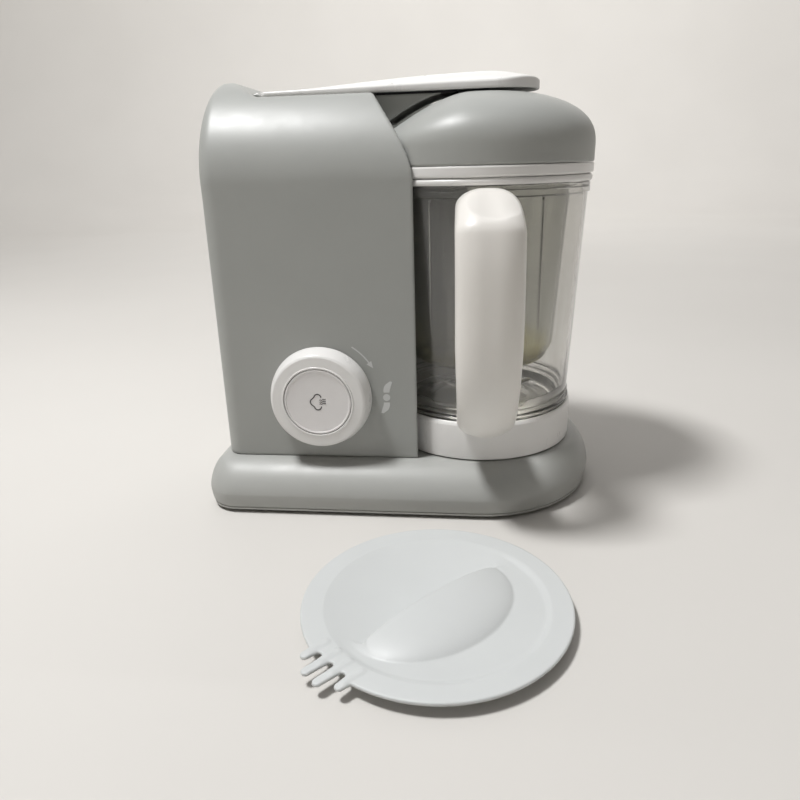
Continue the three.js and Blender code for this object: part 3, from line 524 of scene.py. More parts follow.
def lamps_pass(tree, shader, colour):
    """Lets lamps light what is behind the surface."""
    pane = node(tree, "ShaderNodeBsdfTransparent", Color=(*colour, 1))
    mix = node(tree, "ShaderNodeMixShader")
    path = node(tree, "ShaderNodeLightPath")
    tree.links.new(path.outputs["Is Shadow Ray"], mix.inputs["Fac"])
    tree.links.new(shader.outputs["BSDF"], mix.inputs[1])
    tree.links.new(pane.outputs["BSDF"], mix.inputs[2])
    tree.links.new(mix.outputs["Shader"], tree.nodes["Material Output"].inputs["Surface"])


def metal(name, colour, roughness=0.25, stretch=(1, 1, 12), depth=0.000012):
    """Metal with a drawn or turned grain."""
    material, tree, shader, place = start_material(name)
    shader.inputs["Metallic"].default_value = 1.0
    lines = noise(tree, place, 420, 3.0, 0.6, stretch)
    dull = noise(tree, place, 70, 4.0, 0.6)
    tint(tree, shader, spread(tree, dull, 0, 1), shifted(colour, -0.12), shifted(colour, 0.05))
    tree.links.new(spread(tree, lines, roughness * 0.7, roughness * 1.4), shader.inputs["Roughness"])
    bumps(tree, shader, [(lines, depth)])
    return material


def rubbery(name, colour, roughness=0.7):
    """Soft moulded rubber: matt, with a coarser grain and dusty patches."""
    material, tree, shader, place = start_material(name)
    dust = noise(tree, place, 140, 5.0, 0.65)
    tint(tree, shader, spread(tree, dust, 0, 1, 0.4, 0.75), colour, shifted(colour, 0.22))
    tree.links.new(spread(tree, dust, roughness - 0.08, roughness + 0.1), shader.inputs["Roughness"])
    pores = noise(tree, place, 1900, 2.0, 0.7)
    bumps(tree, shader, [(pores, 0.00003)])
    shader.inputs["Sheen Weight"].default_value = 0.08
    return material


FINE = 0.000003
SLOTS = {
    "housing_grey": lambda s: moulded(
        s, (0.37, 0.378, 0.362), 0.42, mottle=0.02, coat=0.05, coat_roughness=0.3),
    "base_grey": lambda s: moulded(
        s, (0.405, 0.41, 0.393), 0.43, mottle=0.02, coat=0.04, coat_roughness=0.3),
    "white_gloss": lambda s: moulded(s, (0.81, 0.80, 0.785), 0.3, FINE, 0.008, 0.2),
    "handle_white": lambda s: moulded(s, (0.81, 0.785, 0.745), 0.32, FINE, 0.012, 0.2),
    "button_pearl": lambda s: moulded(s, (0.80, 0.78, 0.775), 0.33, 0.000008, 0.03, 0.35),
    "clear_plastic": lambda s: clear(s, (0.83, 0.825, 0.805), 0.03, 0.05),
    "basket_clear": lambda s: clear(s, (0.79, 0.795, 0.76), 0.05, 0.08, (0.72, 0.67, 0.36)),
    "pale_plastic": lambda s: moulded(
        s, (0.61, 0.627, 0.625), 0.44, 0.00004, 0.015, grain_scale=1300),
    "black_plastic": lambda s: moulded(s, (0.022, 0.022, 0.024), 0.5, 0.00003, 0.1),
    "rubber_grey": lambda s: rubbery(s, (0.16, 0.163, 0.163)),
    "silicone": lambda s: rubbery(s, (0.60, 0.57, 0.53), 0.5),
    "steel": lambda s: metal(s, (0.56, 0.56, 0.57), 0.3),
    "blade_steel": lambda s: metal(s, (0.62, 0.62, 0.625), 0.13, (1, 12, 1), 0.000004),
    "copper": lambda s: metal(s, (0.62, 0.27, 0.14), 0.35, (8, 8, 1), 0.00008),
    "brass": lambda s: metal(s, (0.62, 0.45, 0.19), 0.28),
    "board_green": lambda s: moulded(s, (0.02, 0.12, 0.045), 0.35, 0.00002, 0.15, 0.4),
}
paint = {name: make(name) for name, make in SLOTS.items()}
paint["print_light"] = moulded("print_light", (0.62, 0.63, 0.62), 0.5, mottle=0.02)
paint["print_dark"] = moulded("print_dark", (0.03, 0.028, 0.03), 0.45, mottle=0.05)


def dress(obj, body, slot, *nodes):
    """Gives a new piece its material and body, and hides the CAD nodes that it stands for."""
    obj.data.materials.clear()
    obj.data.materials.append(paint[slot])
    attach(obj, body)
    if nodes:
        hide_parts(*nodes)


def finish_cad_nodes():
    """Gives every carried-over CAD node its slot's material and slightly broken edges."""
    for part in frame["record"]["subparts"]:
        obj = frame["nodes"][part["node"]]
        obj.data.materials.clear()
        obj.data.materials.append(paint[part["material_slot"]])
        weld = obj.modifiers.new("weld", "WELD")
        weld.merge_threshold = 1e-6
        bevel = obj.modifiers.new("edge", "BEVEL")
        bevel.width = 0.25 * MM
        bevel.segments = 2
        bevel.limit_method = "ANGLE"
        bevel.angle_limit = radians(40)


# ---------------- base

def base_plan(side, front, z):
    """The base's outline at one height: two round left corners and a half-oval right end."""
    ring = []

    def arc(cx, cy, rx, ry, start, end, steps):
        for k in range(steps + 1):
            angle = radians(start + (end - start) * k / steps)
            ring.append((cx + rx * cos(angle), cy + ry * sin(angle), z))

    corner_x = BASE_LOW.x + BASE_CORNER
    arc(corner_x, BASE_LOW.y + BASE_CORNER, BASE_CORNER - side, BASE_CORNER - front, 180, 270, 14)
    arc(0, 0, BASE_HIGH.x - side, -BASE_LOW.y - front, -90, 0, 40)
    arc(0, 0, BASE_HIGH.x - side, BASE_HIGH.y - side, 2, 90, 36)
    arc(corner_x, BASE_HIGH.y - BASE_CORNER, BASE_CORNER - side, BASE_CORNER - side, 90, 180, 14)
    return ring


def base_rings(inset, foot, levels=18):
    """Rings up the belly, from the foot profile of (inset, z) to the top edge."""
    rings = [base_plan(inset + out, inset + out, z) for out, z in foot]
    for k in range(levels + 1):
        angle = radians(90 * k / levels)
        reach = 1 - cos(angle) ** (2 / BASE_POWER)
        z = BASE_BELLY + (BASE_HIGH.z - BASE_BELLY - inset) * sin(angle) ** (2 / BASE_POWER)
        side = inset + BASE_SIDE_INSET * reach
        front = inset + (BASE_FRONT_INSET - inset) * reach
        rings.append(base_plan(side, front, z))
    return rings


def add_base():
    """The base's shell with its seam, its drive hole, the groove that seats the jug, and four feet."""
    low = BASE_LOW.z
    foot = (
        (2.4, low), (1.5, low + 0.3), (1.3, low + 1.5), (1.75, low + 1.8), (1.75, low + 2.1),
        (1.1, low + 2.5), (0.45, low + 5.5))
    shell = add_object("base_casing", *loft(base_rings(0, foot)))
    hollow = add_object("cutter", *loft(base_rings(WALL, ((1.2, low - 2),), 6)))
    drive_hole = turned("cutter", [(0, 20), (9.3, 20), (9.3, 40), (0, 40)])
    jug_seat = turned("cutter", soften([(53.2, 29.4), (55.2, 29.4), (55.2, 40), (53.2, 40)], 0.3))
    carve(shell, [hollow, drive_hole, jug_seat], 40)
    dress(shell, "root", "base_grey", "base_shell")
    for name in ("front_left", "rear_left", "front_right", "rear_right"):
        low, high = limits(f"foot_{name}")
        middle = (low + high) / 2
        profile = soften([(0, 0), (7, 0, 1.2), (8, 1.1, 0.3), (8, high.z), (0, high.z)], 0.3)
        foot = turned(f"rubber_foot_{name}", profile, (middle.x, middle.y, 0), 48)
        dress(foot, "root", "rubber_grey", f"foot_{name}")


# ---------------- housing

def skyline(x):
    """Height of the housing's top: a raised cheek on the left that falls to the flat deck."""
    fall = HOUSING_HIGH.z + 0.4 - 0.56 * (x + 147.8)
    fall = np.minimum(fall, HOUSING_HIGH.z)
    blend = np.clip(0.5 + (fall - DECK) / 5, 0, 1)
    return DECK + (fall - DECK) * blend + 1.25 * blend * (1 - blend)


def housing_field(x, y, z):
    """The housing's outer form."""
    low, high = HOUSING_LOW, HOUSING_HIGH
    along = np.maximum(low.y + ROLL_DEPTH - y, 0) / ROLL_DEPTH
    up = np.maximum(z - (high.z - ROLL_HEIGHT), 0) / ROLL_HEIGHT
    bulge = (along ** ROLL_POWER + up ** ROLL_POWER) ** (1 / ROLL_POWER)
    size = np.hypot(along, up)
    reach = np.hypot(along * ROLL_DEPTH, up * ROLL_HEIGHT)
    scale = np.where(size > 0, reach / np.maximum(size, 1e-9), ROLL_DEPTH)
    front = (bulge - 1) * scale
    back = both(y - high.y, z - high.z, BACK_ROLL)
    corner = 10 - 3.5 * np.clip((z - 185) / 60, 0, 1)
    body = both(np.maximum(front, back), low.x - x, corner)
    body = both(body, 0.86 * (z - skyline(x)), 1.6)
    body = both(body, BAY_RADIUS - np.hypot(x, y), 1.5)
    body = np.maximum(body, x - HOUSING_HIGH.x)
    return both(body, low.z - z, 0.5)


def housing_hollow(x, y, z):
    """The housing's inner form, which stays open at the bottom."""
    lowered = z + np.where(z < 60, 12, 0)
    return np.maximum(housing_field(x, y, lowered) + WALL, 20 - z)


def add_housing():
    """The shell, with holes for the rear panel, the knob, the tank's mouth and the arm's hinge."""
    low, high = HOUSING_LOW, HOUSING_HIGH
    shell = grown("housing_casing", housing_field, low, high, 1.0)
    hollow = grown("cutter", housing_hollow, low - Vector((0, 0, 12)), high, 3.4)
    rear = block(
        (COVER_LOW.x - 0.3, 60, COVER_LOW.z - 0.3), (COVER_HIGH.x + 0.3, 90, COVER_HIGH.z + 0.3))
    bore = [(0, -12), (12.7, -12), (12.7, 12), (0, 12)]
    knob_hole = turned("cutter", bore, (KNOB_X, FRONT, KNOB_Z), 64, TO_FRONT)
    mouth = (MOUTH_LOW + MOUTH_HIGH) / 2
    funnel = soften([(0, 225), (19.3, 225), (19.3, 236), (20.2, 250), (0, 250)], 0.3)
    mouth_hole = turned("cutter", funnel, (mouth.x, 0, 0), 96)
    groove = turned("cutter", [(0, -14), (5.2, -14), (5.2, 14), (0, 14)], PIVOT, 48, TO_FRONT)
    carve(shell, [hollow, rear, knob_hole, mouth_hole, groove], 75)
    dress(shell, "root", "housing_grey", "housing_shell")
    add_hinge_seat()
    add_rear_panel()


def add_hinge_seat():
    """Two ears on the deck that hold the ends of the arm's pin."""
    left, right, top = PIVOT.x - 2.8, PIVOT.x + 2.8, DECK + 2.2
    outline = soften([(left, DECK - 6), (right, DECK - 6), (right, top, 2.6), (left, top, 2.6)], 0.4, 8)
    for name, near, far in (("front", -18.9, -14.2), ("rear", 14.2, 18.9)):
        points, faces = loft([[(x, y, z) for x, z in outline] for y in (near, far)])
        ear = add_object(f"hinge_ear_{name}", points, faces)
        bevel = ear.modifiers.new("edge", "BEVEL")
        bevel.width = 0.5 * MM
        bevel.segments = 3
        bevel.limit_method = "ANGLE"
        dress(ear, "root", "housing_grey")


def add_rear_panel():
    """The screwed panel in the housing's back, with its vents and a blank plaque."""
    low, high = COVER_LOW, COVER_HIGH
    middle = ((low.x + high.x) / 2, (low.z + high.z) / 2)
    half = ((high.x - low.x) / 2, (high.z - low.z) / 2)
    screws = [limits(f"rear_cover_screw_{name}") for name in ("upper", "lower")]
    gland = (GLAND_LOW + GLAND_HIGH) / 2

    def field(x, y, z):
        away = both(np.abs(x - middle[0]) - half[0], np.abs(z - middle[1]) - half[1], 3.0)
        plate = both(away, y - high.y, 0.8)
        for height in np.arange(VENTS) * VENT_STEP + VENT_LOW:
            plate = without(plate, capsule(x, z, (-129, height), (-87, height), 1.8), 0.5)
        plaque = both(np.abs(x + 92) - 24, np.abs(z - 176) - 14, 2.0)
        plate = without(plate, both(plaque, high.y - 0.7 - y), 0.3)
        for start, end in screws:
            spot = np.hypot(x - (start.x + end.x) / 2, z - (start.z + end.z) / 2)
            plate = without(plate, spot - 1.8, 0.3)
        plate = without(plate, np.hypot(x - gland.x, z - gland.z) - 7.4, 0.4)
        return np.maximum(plate, low.y - y)

    panel = grown("rear_panel", field, low, high, 0.9, crease=60)
    dress(panel, "root", "housing_grey", "rear_cover")
    for name, (start, end) in zip(("upper", "lower"), screws):
        place = ((start.x + end.x) / 2, end.y, (start.z + end.z) / 2)
        profile = soften([(0, -13), (1.5, -13), (1.5, -1.5), (3, -1.5), (3, 0, 0.9), (0, 0)], 0.15)
        screw = turned(f"panel_screw_{name}", profile, place, 40, TO_BACK)
        axis = Vector((AXIS.x, AXIS.y, 0)) * MM
        cuts = []
        for tilt in (20, 110):
            notch = block((-2, -1.2, -0.35), (2, 0.6, 0.35))
            notch.data.transform(
                Matrix.Translation(axis + Vector(place) * MM) @ Matrix.Rotation(radians(tilt), 4, "Y")
                @ Matrix.Translation(-axis))
            cuts.append(notch)
        carve(screw, cuts, 35)
        dress(screw, "root", "steel", f"rear_cover_screw_{name}")
    depth = GLAND_HIGH.y - GLAND_LOW.y
    ribs = []
    for k in range(3):
        low_y = depth - 4.2 + k * 1.2
        ribs += [(7, low_y), (6.2, low_y + 0.3), (6.2, low_y + 0.7)]
    profile = [(3.5, 0), (7, 0), (7, 9), (10, 9), (10, 11, 0.8), *ribs, (5.2, depth), (3.5, depth)]
    bush = turned("cord_bush", soften(profile, 0.25), (gland.x, GLAND_LOW.y, gland.z), 64, TO_BACK)
    dress(bush, "root", "black_plastic", "cord_gland")


def add_tank_mouth():
    """The filler ring that shows when the arm is up."""
    low, top = MOUTH_LOW.z, MOUTH_HIGH.z
    profile = soften([
        (17, low), (18.9, low), (18.9, top, 0.9), (15.2, top, 0.8), (15.2, low + 1.9),
        (17, low + 1.9)], 0.2)
    ring = turned("mouth_collar", profile, ((MOUTH_LOW.x + MOUTH_HIGH.x) / 2, 0, 0), 96)
    dress(ring, "root", "white_gloss", "tank_mouth_ring")


# ---------------- knob, button and marks

def add_controls():
    """The knob and its button. Their profiles are (radius, distance out from the housing's front)."""
    place = (KNOB_X, FRONT, KNOB_Z)
    proud, radius = KNOB_PROUD, BUTTON_RADIUS
    inner = radius + 0.3
    ring = soften([
        (5.6, -12), (12, -12), (12, 0.5), (29.9, 0.5, 0.5), (30.3, 2.0, 1.0), (29.9, 5.0, 3),
        (27.9, proud - 1.0, 2.0), (26.6, proud - 0.15, 1.4), (inner + LIP + 0.1, proud - 0.1, 0.15),
        (inner + LIP, proud + 0.35, 0.4), (inner, proud + 0.35, 0.4), (inner, 3.2), (5.6, 3.2)], 0.3, 8)
    dress(turned("knob_collar", ring, place, 160, TO_FRONT), "knob", "white_gloss", "knob_ring")
    out = proud + 0.25
    stem = FRONT - BUTTON_HIGH.y
    face = soften([
        (0, stem), (5.2, stem), (5.2, 5.8), (radius, 5.8), (radius, out - 0.5, 0.4),
        (radius - 0.5, out, 0.4), (radius - 1.0, out, 0.3), (radius - 1.4, out - 0.4, 0.3),
        (radius - 7, out - 0.6, 4), (0, out - 0.6)], 0.3, 8)
    dress(turned("push_button", face, place, 160, TO_FRONT), "button", "button_pearl", "steam_button")


def front_mark(name, outlines, y, body, ink, centre):
    """Flat outlines of (x, z) about a centre, a hair proud of a surface that faces the front."""
    points, faces = [], []
    for outline in outlines:
        start = len(points)
        flat = [(centre[0] + x, centre[1] + z) for x, z in outline]
        made, sides = loft([[(x, depth, z) for x, z in flat] for depth in (y, y - MARK_DEPTH)])
        points += made.tolist()
        faces += [[start + corner for corner in side] for side in sides]
    mark = add_object(name, points, faces)
    mark.data.materials.append(paint[ink])
    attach(mark, body)


def stroke(line, width):
    """The outline of a line of (x, z) points drawn with a round-ended pen."""
    left, right = [], []
    for k, (x, z) in enumerate(line):
        before = line[max(0, k - 1)]
        after = line[min(len(line) - 1, k + 1)]
        heading = atan2(after[1] - before[1], after[0] - before[0])
        reach = (-sin(heading) * width / 2, cos(heading) * width / 2)
        left.append((x + reach[0], z + reach[1]))
        right.append((x - reach[0], z - reach[1]))
    return left + right[::-1]


def arc_line(cx, cz, radius, start, end, steps=16):
    """Points along an arc about (cx, cz), between two angles in degrees."""
    return [
        (cx + radius * cos(radians(start + (end - start) * k / steps)),
         cz + radius * sin(radians(start + (end - start) * k / steps)))
        for k in range(steps + 1)
    ]


def add_marks():
    """Plain function marks: a turning arrow, a two-winged blade and a steam sign."""
    sweep = arc_line(0, 0, 35.4, 57, 35)
    root = sweep[-1]
    aim = atan2(root[1] - sweep[-2][1], root[0] - sweep[-2][0])
    ahead, across = (cos(aim), sin(aim)), (-sin(aim) * 1.75, cos(aim) * 1.75)
    head = [
        (root[0] + across[0], root[1] + across[1]),
        (root[0] - across[0], root[1] - across[1]),
        (root[0] + ahead[0] * 4.0, root[1] + ahead[1] * 4.0),
    ]
    knob = (KNOB_X, KNOB_Z)
    wall = FRONT + 0.02
    front_mark("turn_arrow", [stroke(sweep, 0.7), head], wall, "root", "print_light", knob)
    wing = smooth_curve([(-1.75, 3.1), (-1.7, 5.4), (-0.5, 7.9), (2.3, 10.0)], 5)
    wing += smooth_curve([(3.5, 9.6), (2.7, 6.9), (2.0, 4.8), (1.75, 3.1)], 5)
    disc = arc_line(0, 0, 2.15, 0, 345, 23)
    turned_wing = [(-x, -z) for x, z in wing]
    front_mark("blade_mark", [wing, disc, turned_wing], wall, "root", "print_light", (-54.2, 68.8))
    out = FRONT - KNOB_PROUD + 0.37
    puff = arc_line(0.1, 2.7, 2.05, 0, 172, 12) + arc_line(-2.0, 0, 2.25, 118, 242, 12)
    puff += arc_line(0.1, -2.7, 2.05, 188, 360, 12)
    waves = [
        stroke([(1.2 + 0.24 * k, z + 0.22 * sin(k * 0.9) + 0.045 * k) for k in range(16)], 0.4)
        for z in (-1.3, -0.1, 1.1)
    ]
    front_mark("steam_mark", [stroke(puff, 0.62), *waves], out, "button", "print_dark", knob)


# ---------------- jug

def jug_radius(z):
    """The jug's outer radius at a height."""
    return JUG_FOOT + (JUG_MOUTH - JUG_FOOT) * (z - JUG_LOW.z) / (JUG_HIGH.z - JUG_LOW.z)


def add_jug():
    """The jug's wall with its stepped foot, its collar and a ringed floor, and all that it carries."""
    low, high, wall = JUG_LOW.z, JUG_HIGH.z, JUG_WALL
    outer = [
        (5.2, low, 0.2), (JUG_FOOT - 3, low, 2), (jug_radius(low + 3), low + 3),
        (jug_radius(54.6), 54.6, 0.3), (jug_radius(55) + 1.5, 55.4, 0.6), (jug_radius(57) + 1.5, 57, 0.6),
        (jug_radius(57.6), 57.8, 0.4), (jug_radius(60), 60, 0.4), (jug_radius(60.5) + 0.9, 60.8, 0.5),
        (jug_radius(61.6), 62.2, 0.4), (jug_radius(120), 120, 0),
        (jug_radius(COLLAR_FOOT), COLLAR_FOOT, 0.5), (COLLAR_RADIUS, COLLAR_FOOT + 0.5, 0.5),
        (COLLAR_RADIUS, 184.2, 0.3), (COLLAR_RADIUS - 0.5, 184.6, 0.2), (COLLAR_RADIUS, 185, 0.3),
        (COLLAR_RADIUS, high, 0.7),
    ]
    inner = [
        (jug_radius(high) - wall - 0.4, high, 0.6), (jug_radius(178) - wall, 178, 3),
        (jug_radius(100) - wall, 100, 0), (jug_radius(66) - wall, 66, 6), (47.5, low + 4.6, 5),
        (38, low + 3.3, 3), (34, low + 4.3, 2), (30, low + 3.1, 2), (13, low + 3.0, 1),
        (12, low + 4.2, 0.6), (8.2, low + 4.2, 0.6), (8.2, low + 3.0, 0.3), (5.2, low + 3.0, 0.2),
    ]
    body = turned("jug_wall", soften(outer + inner, 0.5, 6), segments=192)
    dress(body, "jug", "clear_plastic", "jug_body")
    add_jug_ribs()
    add_jug_ring()
    add_handle()
    add_blade()


def add_jug_ring():
    """The white foot ring, a skirt with a web across its middle."""
    low, top = RING_LOW.z, RING_HIGH.z
    skirt = RING_RADIUS - 2.3
    profile = soften([
        (12.4, 44), (skirt, 44), (skirt, low, 0.5), (RING_RADIUS - 0.2, low, 1.0),
        (RING_RADIUS, top - 2, 2), (RING_RADIUS - 1.0, top, 0.9), (skirt, top, 0.4), (skirt, 47),
        (12.4, 47)], 0.3)
    dress(turned("jug_foot_ring", profile, segments=192), "jug", "white_gloss", "jug_base_ring")


def add_jug_ribs():
    """Two upright ribs inside the jug, one on either side of the handle."""
    for middle, name in ((-RIB_OFFSET, "left"), (RIB_OFFSET, "right")):
        rings = []
        for z, depth in ((108, 0.1), (122, 1.6), (140, 2.6), (170, 2.8), (179, 2.2), (180.5, 0.2)):
            wall_y = -((jug_radius(z) - JUG_WALL) ** 2 - RIB_OFFSET ** 2) ** 0.5
            corners = soften([
                (middle - 0.7, wall_y - 0.5), (middle + 0.7, wall_y - 0.5),
                (middle + 0.45, wall_y + depth), (middle - 0.45, wall_y + depth)], 0.3, 3)
            rings.append([(x, y, z) for x, y in corners])
        points, faces = loft(rings)
        dress(add_object(f"jug_rib_{name}", spun(points, JUG_TURN), faces), "jug", "clear_plastic")


def handle_outline():
    """The handle's side view as (distance out from the jug's axis, z)."""
    outside = smooth_curve([
        (52, 186), (66, 186), (76, 184.6), (86, 180.6), (94.5, 175.2), (99.4, 170.4), (101.5, 164),
        (103.4, 150), (104, 130), (103.4, 108), (101, 90), (95.5, 73.5), (86, 60), (76, 52.4),
        (66, 49.8), (52, 49.8)], 5)
    inside = smooth_curve([(52, 66), (66, 67), (76, 72), (83, 82), (86, 96), (86.4, 120), (86, 146)], 5)
    inside += smooth_curve([(83, 158), (76, 165), (64, 167.6), (52, 168)], 5)
    return outside + inside


def add_handle():
    """The grip: narrower at both ends, with a thumb dent in its top, and cut to fit the jug."""
    outline = handle_outline()

    def field(x, y, z):
        out = -y
        top = 2.6 * np.clip((z - 167) / 19, 0, 1) ** 2
        foot = 4.5 * np.clip((64 - z) / 14, 0, 1) ** 2 + 1.2 * np.clip((110 - z) / 50, 0, 1)
        side = inside_outline(out, z, outline)
        squareness = 0.62 + 0.1 * np.clip((z - 165) / 12, 0, 1)
        body = both(side, squareness * (np.abs(x) - HANDLE_HALF + top + foot), HANDLE_CORNER)
        dent = np.maximum(0, 1 - ((x - 2.0) / 13.5) ** 2 - ((out - 83.5) / 14.0) ** 2)
        body = body + 2.6 * dent * np.clip((z - 170.5) / 1.2, 0, 1)
        space = np.where(z < RING_HIGH.z + 0.3, RING_RADIUS + 0.3, jug_radius(z) + 0.35)
        space = np.where(z > COLLAR_FOOT - 0.3, COLLAR_RADIUS + 0.3, space)
        return np.maximum(body, space - np.hypot(x, y))

    handle = grown("jug_grip", field, (-18, -105, 49), (18, -54, 187), 1.1, turn=JUG_TURN)
    dress(handle, "jug", "handle_white", "jug_handle")


def add_blade():
    """Two swept wings on a domed cap."""
    section = (
        (-0.5, -0.05), (-0.28, -0.55), (0.2, -0.6), (0.46, -0.45), (0.5, 0.0), (0.46, 0.45), (0.2, 0.6),
        (-0.28, 0.45))
    rings = []
    for k in range(13):
        reach = 3 + 30 * k / 12
        rise = 56.7 + 0.42 * max(0, reach - 16)
        chord = 13.5 * (1 - (k / 12) ** 1.7) + 2.2
        middle = -1.0 - 0.0042 * max(0, reach - 6) ** 2
        twist = 0.12 * min(1, k / 6)
        rings.append([(reach, middle + chord * u, rise + w + twist * chord * u) for u, w in section])
    wing, sides = loft(rings)
    across = wing * (-1, -1, 1)
    faces = sides + [[len(wing) + corner for corner in side] for side in sides]
    wings = add_object("blade_wings", np.concatenate((wing, across)), faces, 25)
    dress(wings, "blade", "blade_steel", "blade")
    profile = soften([
        (3.8, 52.6), (9.5, 52.6), (9.2, 54.6, 0.8), (8.2, 55.6), (5.9, 55.6), (5.9, 57.8), (8.2, 57.8, 0.5),
        (8.0, 60, 0.4), (7.2, 61, 0.4), (6.6, 65.2, 2), (3.5, 67.2, 2), (0, 67.4), (0, 64.4),
        (3.8, 64.4)], 0.3, 6)
    dress(turned("blade_cap", profile, segments=72), "blade", "blade_steel", "blade_hub")


def add_basket():
    """The clear steaming basket: slotted floor, round bottom edge and a flange on the jug's mouth."""
    low, high = limits("steam_basket")
    bottom, rim = low.z, high.z
    outer = [
        (0, bottom), (30, bottom, 4), (41.5, bottom + 2.2, 6), (46, bottom + 12, 8), (52, rim - 6, 0),
        (52.4, rim - 1.5, 1.2), (61.4, rim - 1.3, 0.4), (61.4, rim, 0.4)]
    inner = [
        (50.4, rim, 1.4), (50.2, rim - 8, 0), (44.2, bottom + 12.4, 8), (40.2, bottom + 4.2, 6),
        (30, bottom + 1.8, 4), (0, bottom + 1.8)]
    basket = turned("food_basket", soften(outer + inner, 0.5, 6), segments=160)
    cuts = []
    for k in range(12):
        angle = radians(30 * k + 8)
        for start, end in (((12, 22), (26, 38)) if k % 2 else ((18, 36),)):
            outline = stroke([(start + (end - start) * j / 6, 0) for j in range(7)], 1.7)
            points, faces = prism(outline, bottom - 2, bottom + 8)
            cuts.append(add_object("cutter", spun(points, angle), faces))
    carve(basket, cuts, 35)
    dress(basket, "basket", "basket_clear", "steam_basket")


# ---------------- lid

def dome_profile(radius, height, steps):
    """The dome's outline from its shoulder to its top, with no corner to round."""
    power = 2 / DOME_POWER
    line = []
    for k in range(steps):
        angle = radians(90 * k / steps)
        line.append((radius * cos(angle) ** power, LID_SHOULDER + height * sin(angle) ** power, 0))
    return line


def shoulder_drop(x, z):
    """How far the dome's left shoulder, beside the housing, lies below a turned shape."""
    share = np.clip((-x - 8) / 54, 0, 1)
    return DOME_LEAN * share ** 1.5 * np.maximum(z - LID_SHOULDER, 0)


def add_lid():
    """The dome with the steam inlet in its top, the white band below it and the seal."""
    skirt, top, radius, wall = DOME_LOW.z, DOME_TOP, LID_RADIUS, LID_WALL
    height = top - LID_SHOULDER
    outer = [(radius - wall, skirt, 0.3), (radius - 0.6, skirt, 0.3), (radius - 0.1, skirt + 1.1, 0.5)]
    rise = [point for point in dome_profile(radius, height, 56) if point[0] > 12.2]
    inlet = [(11.8, top - 0.6, 0.5), (11.4, 233, 0.3), (5.5, 233, 0.3), (5.5, 229, 0.3), (13, 229, 0.6)]
    under = [point for point in dome_profile(radius - wall, height - wall, 28) if point[0] > 13.5]
    points, faces = revolve(soften(outer + rise + inlet + under[::-1], 0.3), 192)
    points[:, 2] -= shoulder_drop(points[:, 0], points[:, 2])
    dress(add_object("dome_casing", points, faces, 50), "lid", "housing_grey", "lid_dome")
    low, high = limits("lid_ring")
    band = soften([
        (radius - 6, low.z), (radius - 1.6, low.z, 0.6), (radius - 0.25, low.z + 0.9, 0.8),
        (radius, high.z - 0.8, 0.5), (radius - 0.3, high.z, 0.3), (radius - 6, high.z)], 0.3)
    dress(turned("dome_band", band, segments=192), "lid", "white_gloss", "lid_ring")
    low, high = limits("lid_gasket")
    seal = soften([
        (61.8, low.z), (63.8, low.z, 0.4), (64.5, low.z + 1.2, 0.8), (64.5, high.z - 1.0, 0.8),
        (63.7, high.z, 0.4), (61.8, high.z)], 0.3)
    dress(turned("seal_ring", seal, segments=192), "lid_seal", "white_gloss", "lid_gasket")


# ---------------- arm

def arm_plan(x, y):
    """Distance to the arm's outline in plan: straight sides, an oval tip and a narrower root."""
    length = ARM_HIGH.x - ARM_TIP
    along = np.maximum(x - ARM_TIP, 0) / length
    across = np.abs(y) / ARM_HALF
    oval = np.hypot(along, across)
    size = np.hypot(along * length, across * ARM_HALF)
    tip = (oval - 1) * np.where(oval > 0, size / np.maximum(oval, 1e-9), 1)
    main = both(tip, ARM_LEFT - x, 2.0)
    root = np.maximum(np.maximum(np.abs(y) - ROOT_HALF, PIVOT.x - 3.2 - x), x + 110)
    return np.minimum(main, root)


def arm_top_height(x, y, drop=0.0):
    """The arm's upper surface: an edge that climbs to the right and a crown that fades at the tip."""
    rise = np.sin(pi / 2 * np.clip((x + 126) / (ARM_TIP + 126), 0, 1))
    fall = np.clip((x - ARM_TIP + 6) / (ARM_HIGH.x - ARM_TIP + 8), 0, 1)
    crown = ARM_CROWN * rise * (1 - fall ** 2)
    edge = 239.7 + 1.8 * np.clip((x + 124) / 150, 0, 1)
    return edge - drop + crown * np.maximum(0, 1 - (y / ARM_HALF) ** 2)


def arm_field(x, y, z):
    """The arm as a hollow shell, with a barrel round its pin."""
    side = arm_plan(x, y)
    body = both(side, 0.98 * (z - arm_top_height(x, y)), 0.8)
    body = both(body, ARM_UNDER - z, 0.5)
    barrel = np.maximum(np.hypot(x - PIVOT.x, z - PIVOT.z) - 3.6, np.abs(y) - ROOT_HALF)
    neck = np.maximum(np.maximum(x + 119.5, PIVOT.x - x), np.maximum(np.abs(y) - ROOT_HALF, ARM_UNDER - z))
    neck = np.maximum(neck, z - 240.2)
    solid = either(np.minimum(body, neck), barrel, 0.4)
    room = np.maximum(side + ARM_SHELL, z - arm_top_height(x, y, ARM_SHELL))
    room = np.maximum(room, -119.2 - x)
    return both(solid, -room, 0.2)


def dome_reach(x, y):
    """The highest that the dome comes over a place while the lid turns."""
    share = np.clip(np.hypot(x, y) / LID_RADIUS, 0, 1)
    rise = np.maximum(0, 1 - share ** DOME_POWER) ** (1 / DOME_POWER)
    dome = LID_SHOULDER + (DOME_TOP - LID_SHOULDER) * rise
    reach = 0 * dome
    for turn in np.radians(np.linspace(-LID_TRAVEL, LID_TRAVEL, 9)):
        reach = np.maximum(reach, dome - shoulder_drop(x * cos(turn) + y * sin(turn), dome))
    return reach


def duct_field(x, y, z):
    """The steam duct under the arm: it fills the gap between the deck's edge and the dome."""
    body = both(np.abs(y) - 18.6, np.hypot(x, y) - 63.6, 1.5)
    body = np.maximum(body, x + 20)
    body = both(body, np.maximum(dome_reach(x, y) + 0.9, 222.0) - z, 0.4)
    return both(body, z - DUCT_TOP, 0.4)


